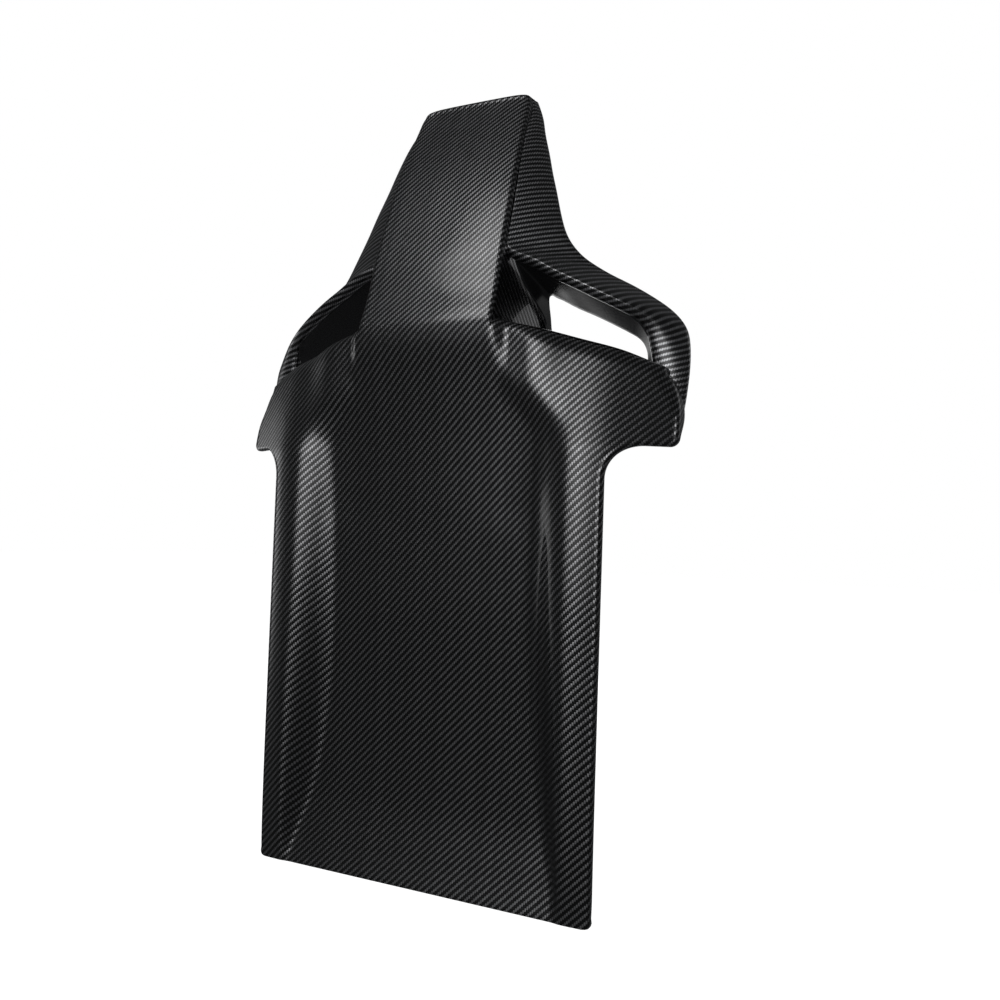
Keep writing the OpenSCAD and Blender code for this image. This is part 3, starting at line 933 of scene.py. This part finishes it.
    def ring(self, sheet: Patch) -> Patch:
        """Roll and flange along the right-hand edge, from the bottom corner to the spine.

        Args:
            sheet: The sheet that they finish.

        Returns:
            The grid.
        """
        middle = sheet.points.shape[1] // 2
        path, on_side = self.edge_path(sheet.points[:, middle:])
        way = np.gradient(path, axis=0)
        out = np.stack([way[:, 2], np.zeros(len(path)), -way[:, 0]], -1)
        out = blurred(out / np.linalg.norm(out, axis=1, keepdims=True), 1.5)
        out[:, 2] *= ease(path[:, 2] / self.corner)
        out /= np.linalg.norm(out, axis=1, keepdims=True)
        wide, _, start = (v[:, None] for v in self.rolls(path, on_side))
        deeper = (self.outer_flange - self.flange) * ease((path[:, 2] - 482) / 25)
        side_reach = self.flange * ease((path[:, 2] + 14) / 24) + deeper
        top_reach = self.lip + (self.outer_flange - self.lip) * ease((path[:, 0] - 215) / 35)
        reach = blurred(np.where(on_side, side_reach, top_reach), 3.0)[:, None]
        fall = np.where(on_side, 0.0, 0.1)[:, None]
        a = start + (math.pi / 2 - start) * np.linspace(0, 1, self.roll_steps + 1)
        s = np.linspace(0, 1, self.run_steps + 1)[1:]
        outer = wide * (np.sin(a) - np.sin(start))
        depth = wide * (np.cos(start) - np.cos(a))
        push = np.concatenate([outer, np.repeat(outer[:, -1:], len(s), 1)], 1)
        run = np.maximum(reach - depth[:, -1:], 0.4) * s
        deep = np.concatenate([depth, depth[:, -1:] + run], 1)
        bend = wide * (a - start)
        arc = np.concatenate([bend, bend[:, -1:] + run], 1)
        drop = np.concatenate([np.zeros_like(bend), fall * run], 1)
        points = path[:, None] + out[:, None] * push[..., None]
        points[..., 1] += deep
        points[..., 2] -= drop
        cloth = path[:, None, [0, 2]] + out[:, None, [0, 2]] * arc[..., None]
        return Patch(points, cloth)

    def spine(self) -> Patch:
        """Head spine: back face, side walls and the roll over its top.

        Returns:
            The grid.
        """
        z = np.concatenate([self.foot_z + 40 * np.linspace(0, 1, 31) ** 1.3,
                            np.linspace(self.foot_z + 40, self.head_z, 90)[1:]])
        roll = np.concatenate([np.zeros(len(z)), np.linspace(0, math.pi / 2, 9)[1:]])
        z = np.concatenate([z, np.full(8, self.head_z)])[:, None]
        roll = roll[:, None]
        zt = z + self.head_roll * np.sin(roll)
        xs = self.spine_x(z)
        xe = xs - 6 * np.clip((zt - self.head_z + 8) / 16, 0, 1) ** 2
        blend = ease((z - self.foot_z) / 14)
        f = np.linspace(0, 1, self.face_columns + 1)
        turn = np.clip((f - 0.94) / 0.06, 0, 1) * math.pi / 2
        soft = np.where(f < 0.94, f / 0.94 * (xe - self.spine_roll),
                        xe - self.spine_roll + self.spine_roll * np.sin(turn))
        x = xs * f * (1 - blend) + soft * blend
        near = np.abs(x) / np.maximum(xs, 1)
        rise = (self.head_rise * np.clip((z - 790) / (self.head_z - 790), 0, 1) ** 2
                * (1 - np.minimum(1, near) ** 8))
        dish = self.dish(x)
        y = self.spine_y(z) + 0.5 * rise + dish + self.head_roll * (1 - np.cos(roll))
        step = self.back_y(x, np.full_like(z, self.foot_z)) - (
            self.spine_y(np.array([[self.foot_z]])) + dish)
        y = y + step * (1 - blend) + self.spine_roll * (1 - np.cos(turn)) * blend
        top = np.broadcast_to(z + rise + self.head_roll * np.sin(roll), x.shape)
        face = np.stack([x, y, top], -1)
        w = np.linspace(0, 1, self.wall_columns + 1)[1:] ** 1.2
        deep = self.wall_y(z) * w
        edge = face[:, -1:]
        wy = edge[..., 1] + deep
        y0 = float(self.back_y(np.array(96.0), np.array(self.foot_z)))
        lip, throat = self.lip_roll, self.foot_flare
        inset = np.clip(lip - (wy - y0), 0, lip)
        lift = np.sqrt(lip**2 - inset**2) - 0.1 * np.maximum(0, wy - y0 - lip) - 1.2
        lift = np.where(wy < y0, 0.0, lift)
        fade = np.exp(-(z - self.foot_z) / 18)
        wz = np.broadcast_to(edge[..., 2], wy.shape) + lift * fade
        above = np.clip(wz - self.foot_z - lift, 0, throat)
        flare = throat - np.sqrt(throat**2 - (throat - above) ** 2)
        flare = flare * ease((wy - edge[:1, :, 1] - 6) / 14)
        side = np.stack([edge[..., 0] + 0.11 * deep + flare, wy, wz], -1)
        half = np.concatenate([face, side], 1)
        left = half[:, :0:-1] * MIRROR
        points = np.concatenate([left, half], 1)
        rises = np.linalg.norm(np.diff(face[:, 0], axis=0), axis=1)
        climb = np.concatenate([[0], np.cumsum(rises)])
        arc = np.cumsum(np.linalg.norm(np.diff(half, axis=1), axis=2), axis=1)
        along = np.concatenate([np.zeros((len(half), 1)), arc], 1)
        along[:, :self.face_columns + 1] = half[:, :self.face_columns + 1, 0]
        edge_arc = arc[:, self.face_columns - 1:self.face_columns]
        along[:, self.face_columns + 1:] = edge[..., 0] - (arc[:, self.face_columns:] - edge_arc)
        u = np.concatenate([-along[:, :0:-1], along], 1)
        v = np.broadcast_to(self.foot_z + climb[:, None], u.shape)
        return Patch(points, np.stack([u, v], -1))

    def build(self) -> bpy.types.Object:
        """Builds and dresses the whole moulding.

        Returns:
            The finished piece.
        """
        sheet = self.sheet()
        right = self.ring(sheet)
        f = self.finishes
        obj = mesh_from("laminate_shell", [sheet, right, right.mirrored(), self.spine()],
                        (f.lacquered, f.bare, f.edge))
        return placed(walled(obj, self.wall), "gloss_carbon", "back_shell")


# ---------------------------------------------------------------- wings and liners


@dataclass
class HarnessWing:
    """Cheek beside the head, flare, and the loop around one harness slot."""

    finishes: Finishes
    side: Side
    wall: float = 2.6
    rows: int = 150
    cloth_turn: float = -33.0
    outer_lip: tuple[tuple[float, float], ...] = (
        (1.5, 1.6), (2.2, 4.5), (0.5, 9.0), (-3.0, 11.0), (-7.0, 12.0))
    rim: Rail = Rail((
        (66.5, 94, 885), (70.5, 86, 866), (75, 71, 842), (78.5, 55, 810), (80.5, 45, 786),
        (82, 36, 760), (82.5, 28, 733), (82, 20, 706), (83, 15, 690), (95.5, 14.5, 681.5),
        (112, 15, 675),
        (134, 17.5, 662), (158, 20, 649.5), (184, 27, 636), (208, 37, 624), (224, 47, 614),
        (232.5, 55, 600), (237, 59, 579), (241, 61, 552), (246, 58, 515), (249, 54, 481)), 0.25)
    outer: Rail = Rail((
        (70.5, 99, 886), (82, 90, 862), (89.5, 80, 838), (99, 73, 810), (106, 67, 786),
        (115, 60, 760), (123.5, 54, 732), (134, 49, 705), (148.5, 53, 685.5), (163.5, 60, 674),
        (181, 68, 663.5), (201.5, 76, 653), (222, 82, 640.5), (240.5, 84, 627), (254, 82, 613),
        (262.5, 78, 598), (266.5, 72, 578), (267, 69, 555), (265, 65, 525), (262, 60, 500),
        (257, 56, 480)), 0.3)

    def grid(self) -> Patch:
        """The wing's skin on the right-hand side.

        Returns:
            The grid.
        """
        u = np.linspace(len(self.rim.stations) - 1, 0, self.rows)
        a, b = self.rim(u), self.outer(u)
        o = (b - a) / np.linalg.norm(b - a, axis=1, keepdims=True)
        way = self.rim(u + 0.1) - self.rim(u - 0.1)
        back = np.cross(o, way)
        back *= -np.sign(back[:, 1:2]) / np.linalg.norm(back, axis=1, keepdims=True)
        down = np.stack([way[:, 2], np.zeros(len(u)), -way[:, 0]], -1)
        down /= np.linalg.norm(down, axis=1, keepdims=True)
        r = (2.6 + 6.4 * ease((u - 7) / 2))[:, None]
        ahead = np.array([0.0, 1.0, 0.0])
        columns = [a + r * down + (r + 2) * ahead, a + r * down + (r + 1) * ahead]
        for t in np.radians(np.linspace(90, 0, 10)):
            columns.append(a + r * (math.sin(t) * down + (1 - math.cos(t)) * ahead))
        for s in np.linspace(0, 1, 15)[1:]:
            columns.append(a + (b - a) * s + 8 * s * (1 - s) * back)
        for p, q in self.outer_lip:
            columns.append(b + p * o + q * ahead)
        points = np.stack(columns, axis=1)
        arc = np.cumsum(np.linalg.norm(np.diff(points, axis=1), axis=2), axis=1)
        arc = np.concatenate([np.zeros((len(u), 1)), arc], 1)
        arc -= arc[:, 11:12]
        flat = np.stack([o[:, 0], o[:, 2]], -1)
        flat = blurred(flat / np.linalg.norm(flat, axis=1, keepdims=True), 2.0)
        reach, tuck = np.maximum(arc, 0)[..., None], np.maximum(-arc, 0)[..., None]
        cloth = a[:, None, [0, 2]] + flat[:, None] * reach + down[:, None, [0, 2]] * tuck
        return Patch(points, cloth)

    def build(self) -> bpy.types.Object:
        """Builds and dresses the wing.

        Returns:
            The finished piece.
        """
        patch = self.grid()
        if self.side is Side.LEFT:
            patch = patch.mirrored()
        t = math.radians(self.cloth_turn)
        c, s = math.cos(t), math.sin(t)
        patch.cloth = patch.cloth @ np.array([[c, -s], [s, c]])
        name, f = self.side.name.lower(), self.finishes
        obj = mesh_from(f"harness_wing_{name}", [patch], (f.wing, f.bare, f.edge))
        smooth = obj.modifiers.new("smooth", "SUBSURF")
        smooth.levels = smooth.render_levels = 1
        smooth.uv_smooth = "NONE"
        return placed(walled(obj, self.wall), "wing_carbon", f"wing_{name}")


@dataclass
class SlotLiner:
    """Moulded strip that lines a harness slot: inner end, upper wall and outer end."""

    finishes: Finishes
    side: Side
    wall: float = 1.6
    rear: Rail = Rail((
        (97, 92, 612), (96, 88, 626), (92.5, 68, 641), (89, 44, 657), (87.5, 25, 676),
        (98, 24, 677), (112, 25, 670.5), (132, 27, 656.5), (156, 30, 643.5), (182, 36, 630),
        (205, 45, 618), (219, 53, 608), (227, 61, 595), (232, 66, 578), (235, 69, 562)), 0.1)
    front: Rail = Rail((
        (97, 106, 612), (96, 104, 630), (95, 101, 645), (97, 97, 653), (103, 94, 655),
        (110, 92, 651), (120, 90, 646), (138, 90, 636), (158, 90, 626.5), (180, 90, 615),
        (198, 90, 605), (209, 89, 598), (216, 88, 590), (220, 87, 580), (221, 86, 568)), 0.1)

    def build(self) -> bpy.types.Object:
        """Builds and dresses the liner.

        Returns:
            The finished piece.
        """
        u = np.linspace(0, len(self.rear.stations) - 1, 120)
        s = np.linspace(1, 0, 13)[None, :, None]
        points = self.rear(u)[:, None] * s + self.front(u)[:, None] * (1 - s)
        points = points[::-1]
        patch = Patch(points, points[..., [0, 1]].copy())
        if self.side is Side.LEFT:
            patch = patch.mirrored()
        name = self.side.name.lower()
        obj = mesh_from(f"slot_liner_skin_{name}", [patch], (self.finishes.liner,) * 3)
        return placed(walled(obj, self.wall), "slot_liner", f"slot_liner_{name}")


# ---------------------------------------------------------------- geometry nodes


class Repeat(Nodes):
    """A geometry node group that ends in realised instances with a material."""

    def __init__(self, name: str, sizes: dict[str, float]) -> None:
        """Starts the group.

        Args:
            name: Name of the group.
            sizes: Named inputs, in metres.
        """
        super().__init__(bpy.data.node_groups.new(name, "GeometryNodeTree"), "GeometryNode")
        self.values = dict(sizes)
        face = self.tree.interface
        face.new_socket("Points", in_out="INPUT", socket_type="NodeSocketGeometry")
        for key in sizes:
            face.new_socket(key, in_out="INPUT", socket_type="NodeSocketFloat")
        face.new_socket("Material", in_out="INPUT", socket_type="NodeSocketMaterial")
        face.new_socket("Result", in_out="OUTPUT", socket_type="NodeSocketGeometry")
        self.entry = self.tree.nodes.new("NodeGroupInput")
        self.basics = Nodes(self.tree, emptied=False)

    def size(self, key: str) -> Socket:
        """The socket of a named input."""
        return self.entry.outputs[key]

    def calc(self, op: str, a: Socket | float, b: Socket | float) -> Socket:
        """A math node's result."""
        return self.basics.node("Math", {0: a, 1: b}, operation=op).outputs[0]

    def joined(self, *parts: Socket) -> Socket:
        """Several geometries as one.

        Args:
            *parts: The geometries.

        Returns:
            The joined geometry.
        """
        join = self.node("JoinGeometry")
        for part in parts:
            self.tree.links.new(part, join.inputs[0])
        return join.outputs[0]

    def moved(self, part: Socket, lift: Socket | float) -> Socket:
        """A geometry moved up by a height."""
        by = self.basics.node("CombineXYZ", {2: lift}).outputs[0]
        return self.node("Transform", {"Geometry": part, "Translation": by}).outputs[0]

    def on_points(self, name: str, part: Socket, points: Sequence[Vector],
                  material: Material) -> bpy.types.Object:
        """Stands the part on each point, its axis along +Y, and bakes the result.

        Args:
            name: Name of the new object.
            part: Geometry whose axis is Z.
            points: Where each copy stands, in metres.
            material: The copies' finish.

        Returns:
            The plain mesh object.
        """
        copies = self.node("InstanceOnPoints", {
            "Points": self.size("Points"), "Instance": part,
            "Rotation": (-math.pi / 2, 0.0, 0.0)}).outputs[0]
        real = self.node("RealizeInstances", {0: copies}).outputs[0]
        flat = self.node("SetShadeSmooth", {0: real, "Shade Smooth": False}).outputs[0]
        done = self.node("SetMaterial", {0: flat, "Material": self.size("Material")}).outputs[0]
        out = self.tree.nodes.new("NodeGroupOutput")
        self.tree.links.new(done, out.inputs[0])
        mesh = bpy.data.meshes.new(name)
        mesh.from_pydata([tuple(p) for p in points], [], [])
        obj = linked(name, mesh)
        mod = obj.modifiers.new("repeat", "NODES")
        mod.node_group = self.tree
        for item in self.tree.interface.items_tree:
            if item.in_out == "INPUT" and item.name in self.values:
                mod[item.identifier] = float(self.values[item.name])
            elif item.in_out == "INPUT" and item.name == "Material":
                mod[item.identifier] = material
        return settled(obj)


# ---------------------------------------------------------------- hardware


def corners(low: Vector, high: Vector, inset: float) -> list[Vector]:
    """The four corners of a box's back face.

    Args:
        low: Lowest corner of the box, in metres.
        high: Highest corner.
        inset: How far inside the box the points lie, in metres.

    Returns:
        The points.
    """
    return [Vector((x, low.y, z)) for x in (low.x + inset, high.x - inset)
            for z in (low.z + inset, high.z - inset)]


@dataclass
class FrameStuds:
    """Four bonded M6 studs: threaded shank with a base fillet."""

    finishes: Finishes
    radius: float = 3.0 * MM
    core: float = 2.5 * MM
    pitch: float = 1.0 * MM
    plain: float = 2.0 * MM

    def build(self) -> bpy.types.Object:
        """Builds the threads on their cores.

        Returns:
            The finished piece.
        """
        low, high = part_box("studs")
        length = high.y - low.y
        g = Repeat("threaded_stud", {
            "Core": self.core, "Crest": self.radius, "Length": length,
            "Plain": self.plain, "Pitch": self.pitch})
        body = g.node("MeshCylinder", {
            "Vertices": 32, "Radius": g.size("Core"), "Depth": g.size("Length")}).outputs["Mesh"]
        body = g.moved(body, g.calc("MULTIPLY", g.size("Length"), 0.5))
        collar = g.node("MeshCone", {
            "Vertices": 32, "Radius Bottom": g.size("Crest"), "Radius Top": g.size("Core"),
            "Depth": g.size("Plain")}).outputs["Mesh"]
        run = g.calc("SUBTRACT", g.size("Length"), g.calc("MULTIPLY", g.size("Plain"), 1.6))
        tooth = g.calc("MULTIPLY", g.calc("SUBTRACT", g.size("Crest"), g.size("Core")), 0.62)
        line = g.calc("SUBTRACT", g.size("Crest"), tooth)
        helix = g.node("CurveSpiral", {
            "Resolution": 24, "Rotations": g.calc("DIVIDE", run, g.size("Pitch")),
            "Start Radius": line, "End Radius": line, "Height": run}).outputs[0]
        section = g.node("CurvePrimitiveCircle", {"Resolution": 4, "Radius": tooth}).outputs[0]
        thread = g.node("CurveToMesh", {
            "Curve": helix, "Profile Curve": section, "Fill Caps": True}).outputs[0]
        thread = g.moved(thread, g.size("Plain"))
        obj = g.on_points("threaded_studs", g.joined(body, collar, thread),
                          corners(low, high, self.radius), self.finishes.zinc)
        return placed(obj, "stud_steel", "studs")


@dataclass
class BeamRivets:
    """Blind rivets that hold the two hooks to the shoulder beam."""

    finishes: Finishes
    shank: float = 2.38 * MM
    head: float = 4.6 * MM
    dome: tuple[tuple[float, float, float, float], ...] = (
        (1.0, 0.93, 0.0, 0.35), (0.93, 0.75, 0.35, 0.35), (0.75, 0.4, 0.7, 0.29))

    def build(self) -> bpy.types.Object:
        """Builds the rivets: shank and stepped dome.

        Returns:
            The finished piece.
        """
        low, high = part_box("beam_rivets")
        length = high.y - low.y
        g = Repeat("blind_rivet", {"Shank": self.shank, "Head": self.head, "Length": length})
        crown = g.calc("MULTIPLY", g.size("Head"), 0.3)
        shaft = g.node("MeshCylinder", {
            "Vertices": 32, "Radius": g.size("Shank"), "Depth": g.size("Length")}).outputs["Mesh"]
        shaft = g.moved(shaft, g.calc("MULTIPLY", g.size("Length"), 0.5))
        foot = g.calc("SUBTRACT", g.size("Length"), crown)
        parts = [shaft]
        for wide, narrow, start, share in self.dome:
            ring = g.node("MeshCone", {
                "Vertices": 32, "Radius Bottom": g.calc("MULTIPLY", g.size("Head"), wide),
                "Radius Top": g.calc("MULTIPLY", g.size("Head"), narrow),
                "Depth": g.calc("MULTIPLY", crown, share)}).outputs["Mesh"]
            parts.append(g.moved(ring, g.calc("ADD", foot, g.calc("MULTIPLY", crown, start))))
        obj = g.on_points("blind_rivets", g.joined(*parts), corners(low, high, self.head),
                          self.finishes.aluminium)
        return placed(obj, "rivet_steel", "beam_rivets")


@dataclass
class FeltPads:
    """Four felt pads on the inside of the shell: soft-edged, flat where the seat frame rests."""

    shell: BackShell
    finishes: Finishes
    centres: tuple[tuple[float, float, float, float, float], ...] = (
        (136, 552, 54, 22, 12), (95, 44, 60, 22, 23))
    across: int = 28
    up: int = 16
    edge: float = 2.4
    lumps: float = 0.12

    def pad(self, cx: float, cz: float, w: float, h: float, front: float) -> list[Patch]:
        """One pad as two skins, back and front, that share their rim.

        Args:
            cx: Middle of the pad across the seat, in mm.
            cz: Middle of the pad up the seat, in mm.
            w: Width in mm.
            h: Height in mm.
            front: Depth of the face that meets the frame, in mm.

        Returns:
            The two skins.
        """
        s = np.sin(np.linspace(-0.5, 0.5, self.across + 1) * math.pi) / 2
        t = np.sin(np.linspace(-0.5, 0.5, self.up + 1) * math.pi) / 2
        s, t = np.meshgrid(s, t)
        x, z = cx + s * w, cz + t * h
        gap = np.minimum(w / 2 - np.abs(x - cx), h / 2 - np.abs(z - cz))
        inset = self.edge * (1 - np.sqrt(1 - np.clip(1 - gap / self.edge, 0, 1) ** 2))
        waves = self.lumps * np.sin(x * 1.7) * np.sin(z * 2.3)
        y_back = self.shell.back_y(x, z) + self.shell.wall + 0.2
        y_front = front - 0.25 + waves * np.clip(gap, 0, 1)
        middle = (y_back + y_front) / 2
        rim = gap < 1e-6
        a = np.where(rim, middle, np.minimum(y_back + inset, middle))
        b = np.where(rim, middle, np.maximum(y_front - inset, middle))
        rear = Patch(np.stack([x, a, z], -1), np.stack([x, z], -1))
        face = np.stack([x, b, z], -1)[:, ::-1]
        return [rear, Patch(face, face[..., [0, 2]].copy())]

    def build(self) -> bpy.types.Object:
        """Builds and dresses the four pads.

        Returns:
            The finished piece.
        """
        skins = [skin for row in self.centres for skin in self.pad(*row)]
        skins += [skin.mirrored() for skin in skins]
        obj = mesh_from("felt_blocks", skins, (self.finishes.felt,))
        placed(obj, "felt", "felt_pads")
        return obj


@dataclass
class Hardware:
    """Frame nodes that keep their own shape and get a worked finish."""

    finishes: Finishes

    def dress(self) -> None:
        """Gives each kept node its finish."""
        f = self.finishes
        kept = {
            "rib_right": f.raw, "rib_left": f.raw, "cross_rib_lower": f.raw,
            "cross_rib_upper": f.raw, "head_web_lower": f.raw, "head_web_upper": f.raw,
            "shoulder_beam": f.aluminium, "hook_right": f.e_coat, "hook_left": f.e_coat,
            "bond_pads": f.adhesive, "stud_plates": f.zinc, "tower_clips": f.spring,
        }
        kept.update({f"clip_tower_{i}": f.nylon for i in range(1, 7)})
        for name, finish in kept.items():
            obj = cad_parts[name]
            obj.data.materials.clear()
            obj.data.materials.append(finish)
            log.info("%s keeps its shape, finish %s", name, finish.name)


# ---------------------------------------------------------------- studio


@dataclass(frozen=True)
class SoftBox:
    """A lamp behind stretched cloth: where it hangs, what it faces, its size and its watts."""

    name: str
    at: tuple[float, float, float]
    aim: tuple[float, float, float]
    size: tuple[float, float]
    power: float

    def hang(self) -> None:
        """Adds the lamp, its light fading towards its rim."""
        data = bpy.data.lights.new(self.name, "AREA")
        data.shape, (data.size, data.size_y), data.energy = "RECTANGLE", self.size, self.power
        data.use_nodes = True
        glow = Nodes(data.node_tree)
        where = glow.node("NewGeometry").outputs["Parametric"]
        parts = glow.node("SeparateXYZ", {0: where}).outputs
        waves = []
        for part in parts[:2]:
            turn = glow.node("Math", {0: part, 1: math.pi}, operation="MULTIPLY").outputs[0]
            waves.append(glow.node("Math", {0: turn}, operation="SINE").outputs[0])
        both = glow.node("Math", dict(enumerate(waves)), operation="MULTIPLY").outputs[0]
        glow.node("OutputLight", {0: glow.node("Emission", {"Strength": both}).outputs[0]})
        lamp = bpy.data.objects.new(self.name, data)
        lamp.location = self.at
        way = Vector(self.aim) - Vector(self.at)
        lamp.rotation_euler = way.to_track_quat("-Z", "Y").to_euler()
        lamp.visible_camera = False
        bpy.context.scene.collection.objects.link(lamp)


@dataclass
class Studio:
    """Pale floor, soft boxes and the camera."""

    eye: tuple[float, float, float] = (0.5176, -0.9051, 0.1303)
    yaw: float = 26.2
    pitch: float = 2.17
    roll: float = 2.02
    lens: float = 33.48
    sensor: float = 36.0
    floor_reach: float = 9.0
    sky: float = 1.0
    fill: float = 0.05
    boxes: tuple[SoftBox, ...] = (
        SoftBox("key_box", (0.3, -2.3, 0.8), (0.0, 0.0, 0.2), (2.4, 2.0), 24.0),
        SoftBox("top_box", (-0.6, -1.15, 1.7), (0.0, 0.0, 0.45), (0.6, 0.9), 4.5),
        SoftBox("left_box", (-1.9, 0.1, 0.2), (0.0, 0.0, 0.15), (1.0, 1.1), 3.0),
        SoftBox("right_box", (1.3, 1.3, 0.9), (0.08, 0.0, 0.38), (1.3, 1.3), 1.6),
        SoftBox("front_box", (-0.5, 1.7, 0.6), (0.0, 0.0, 0.3), (1.8, 1.6), 14.0),
    )

    def camera(self) -> None:
        """Places the camera."""
        y, p, r = (math.radians(v) for v in (self.yaw, self.pitch, self.roll))
        right = Vector((math.cos(y), math.sin(y), 0))
        ahead = Vector((-math.sin(y), math.cos(y), 0))
        up = Vector((0, 0, 1))
        look = ahead * math.cos(p) + up * math.sin(p)
        tall = up * math.cos(p) - ahead * math.sin(p)
        x = right * math.cos(r) + tall * math.sin(r)
        z = tall * math.cos(r) - right * math.sin(r)
        data = bpy.data.cameras.new("camera")
        data.lens, data.sensor_width = self.lens, self.sensor
        cam = bpy.data.objects.new("camera", data)
        turn = Matrix((x, z, -look)).transposed().to_4x4()
        cam.matrix_world = Matrix.Translation(self.eye) @ turn
        bpy.context.scene.collection.objects.link(cam)
        bpy.context.scene.camera = cam

    def floor(self) -> None:
        """Lays a plain pale floor under the shell."""
        low, r = cad_low[2] - 0.0005, self.floor_reach
        mesh = bpy.data.meshes.new("floor")
        square = [(-r, -r, low), (r, -r, low), (r, r, low), (-r, r, low)]
        mesh.from_pydata(square, [], [(0, 1, 2, 3)])
        obj = linked("floor", mesh)
        mesh.materials.append(Graph("pale_floor").shader({
            "Base Color": (0.8, 0.8, 0.8, 1.0), "Roughness": 0.9,
            "Emission Color": (1, 1, 1, 1), "Emission Strength": 1.0}))
        obj.visible_glossy = obj.visible_diffuse = False

    def world(self) -> None:
        """Sets a white surround for the eye and a dim one for the light."""
        world = bpy.data.worlds.new("surround")
        bpy.context.scene.world = world
        world.use_nodes = True
        g = Nodes(world.node_tree)
        light = g.node("Background", {0: (0.96, 0.98, 1.0, 1), 1: self.fill}).outputs[0]
        seen = g.node("Background", {0: (1, 1, 1, 1), 1: self.sky}).outputs[0]
        camera_ray = g.node("LightPath").outputs["Is Camera Ray"]
        pick = g.node("MixShader", {0: camera_ray, 1: light, 2: seen}).outputs[0]
        g.node("OutputWorld", {0: pick})

    def build(self) -> None:
        """Sets up everything that isn't part of the shell."""
        bpy.context.scene.view_settings.view_transform = "Standard"
        self.camera()
        self.floor()
        self.world()
        for box in self.boxes:
            box.hang()


def main() -> None:
    """Builds the shell piece by piece."""
    logging.basicConfig(level=logging.INFO, format="%(name)s: %(message)s")
    Studio().build()
    finishes = Finishes()
    shell = BackShell(finishes)
    shell.build()
    for side in Side:
        HarnessWing(finishes, side).build()
        SlotLiner(finishes, side).build()
    FrameStuds(finishes).build()
    BeamRivets(finishes).build()
    FeltPads(shell, finishes).build()
    Hardware(finishes).dress()


if __name__ == "__main__":
    main()
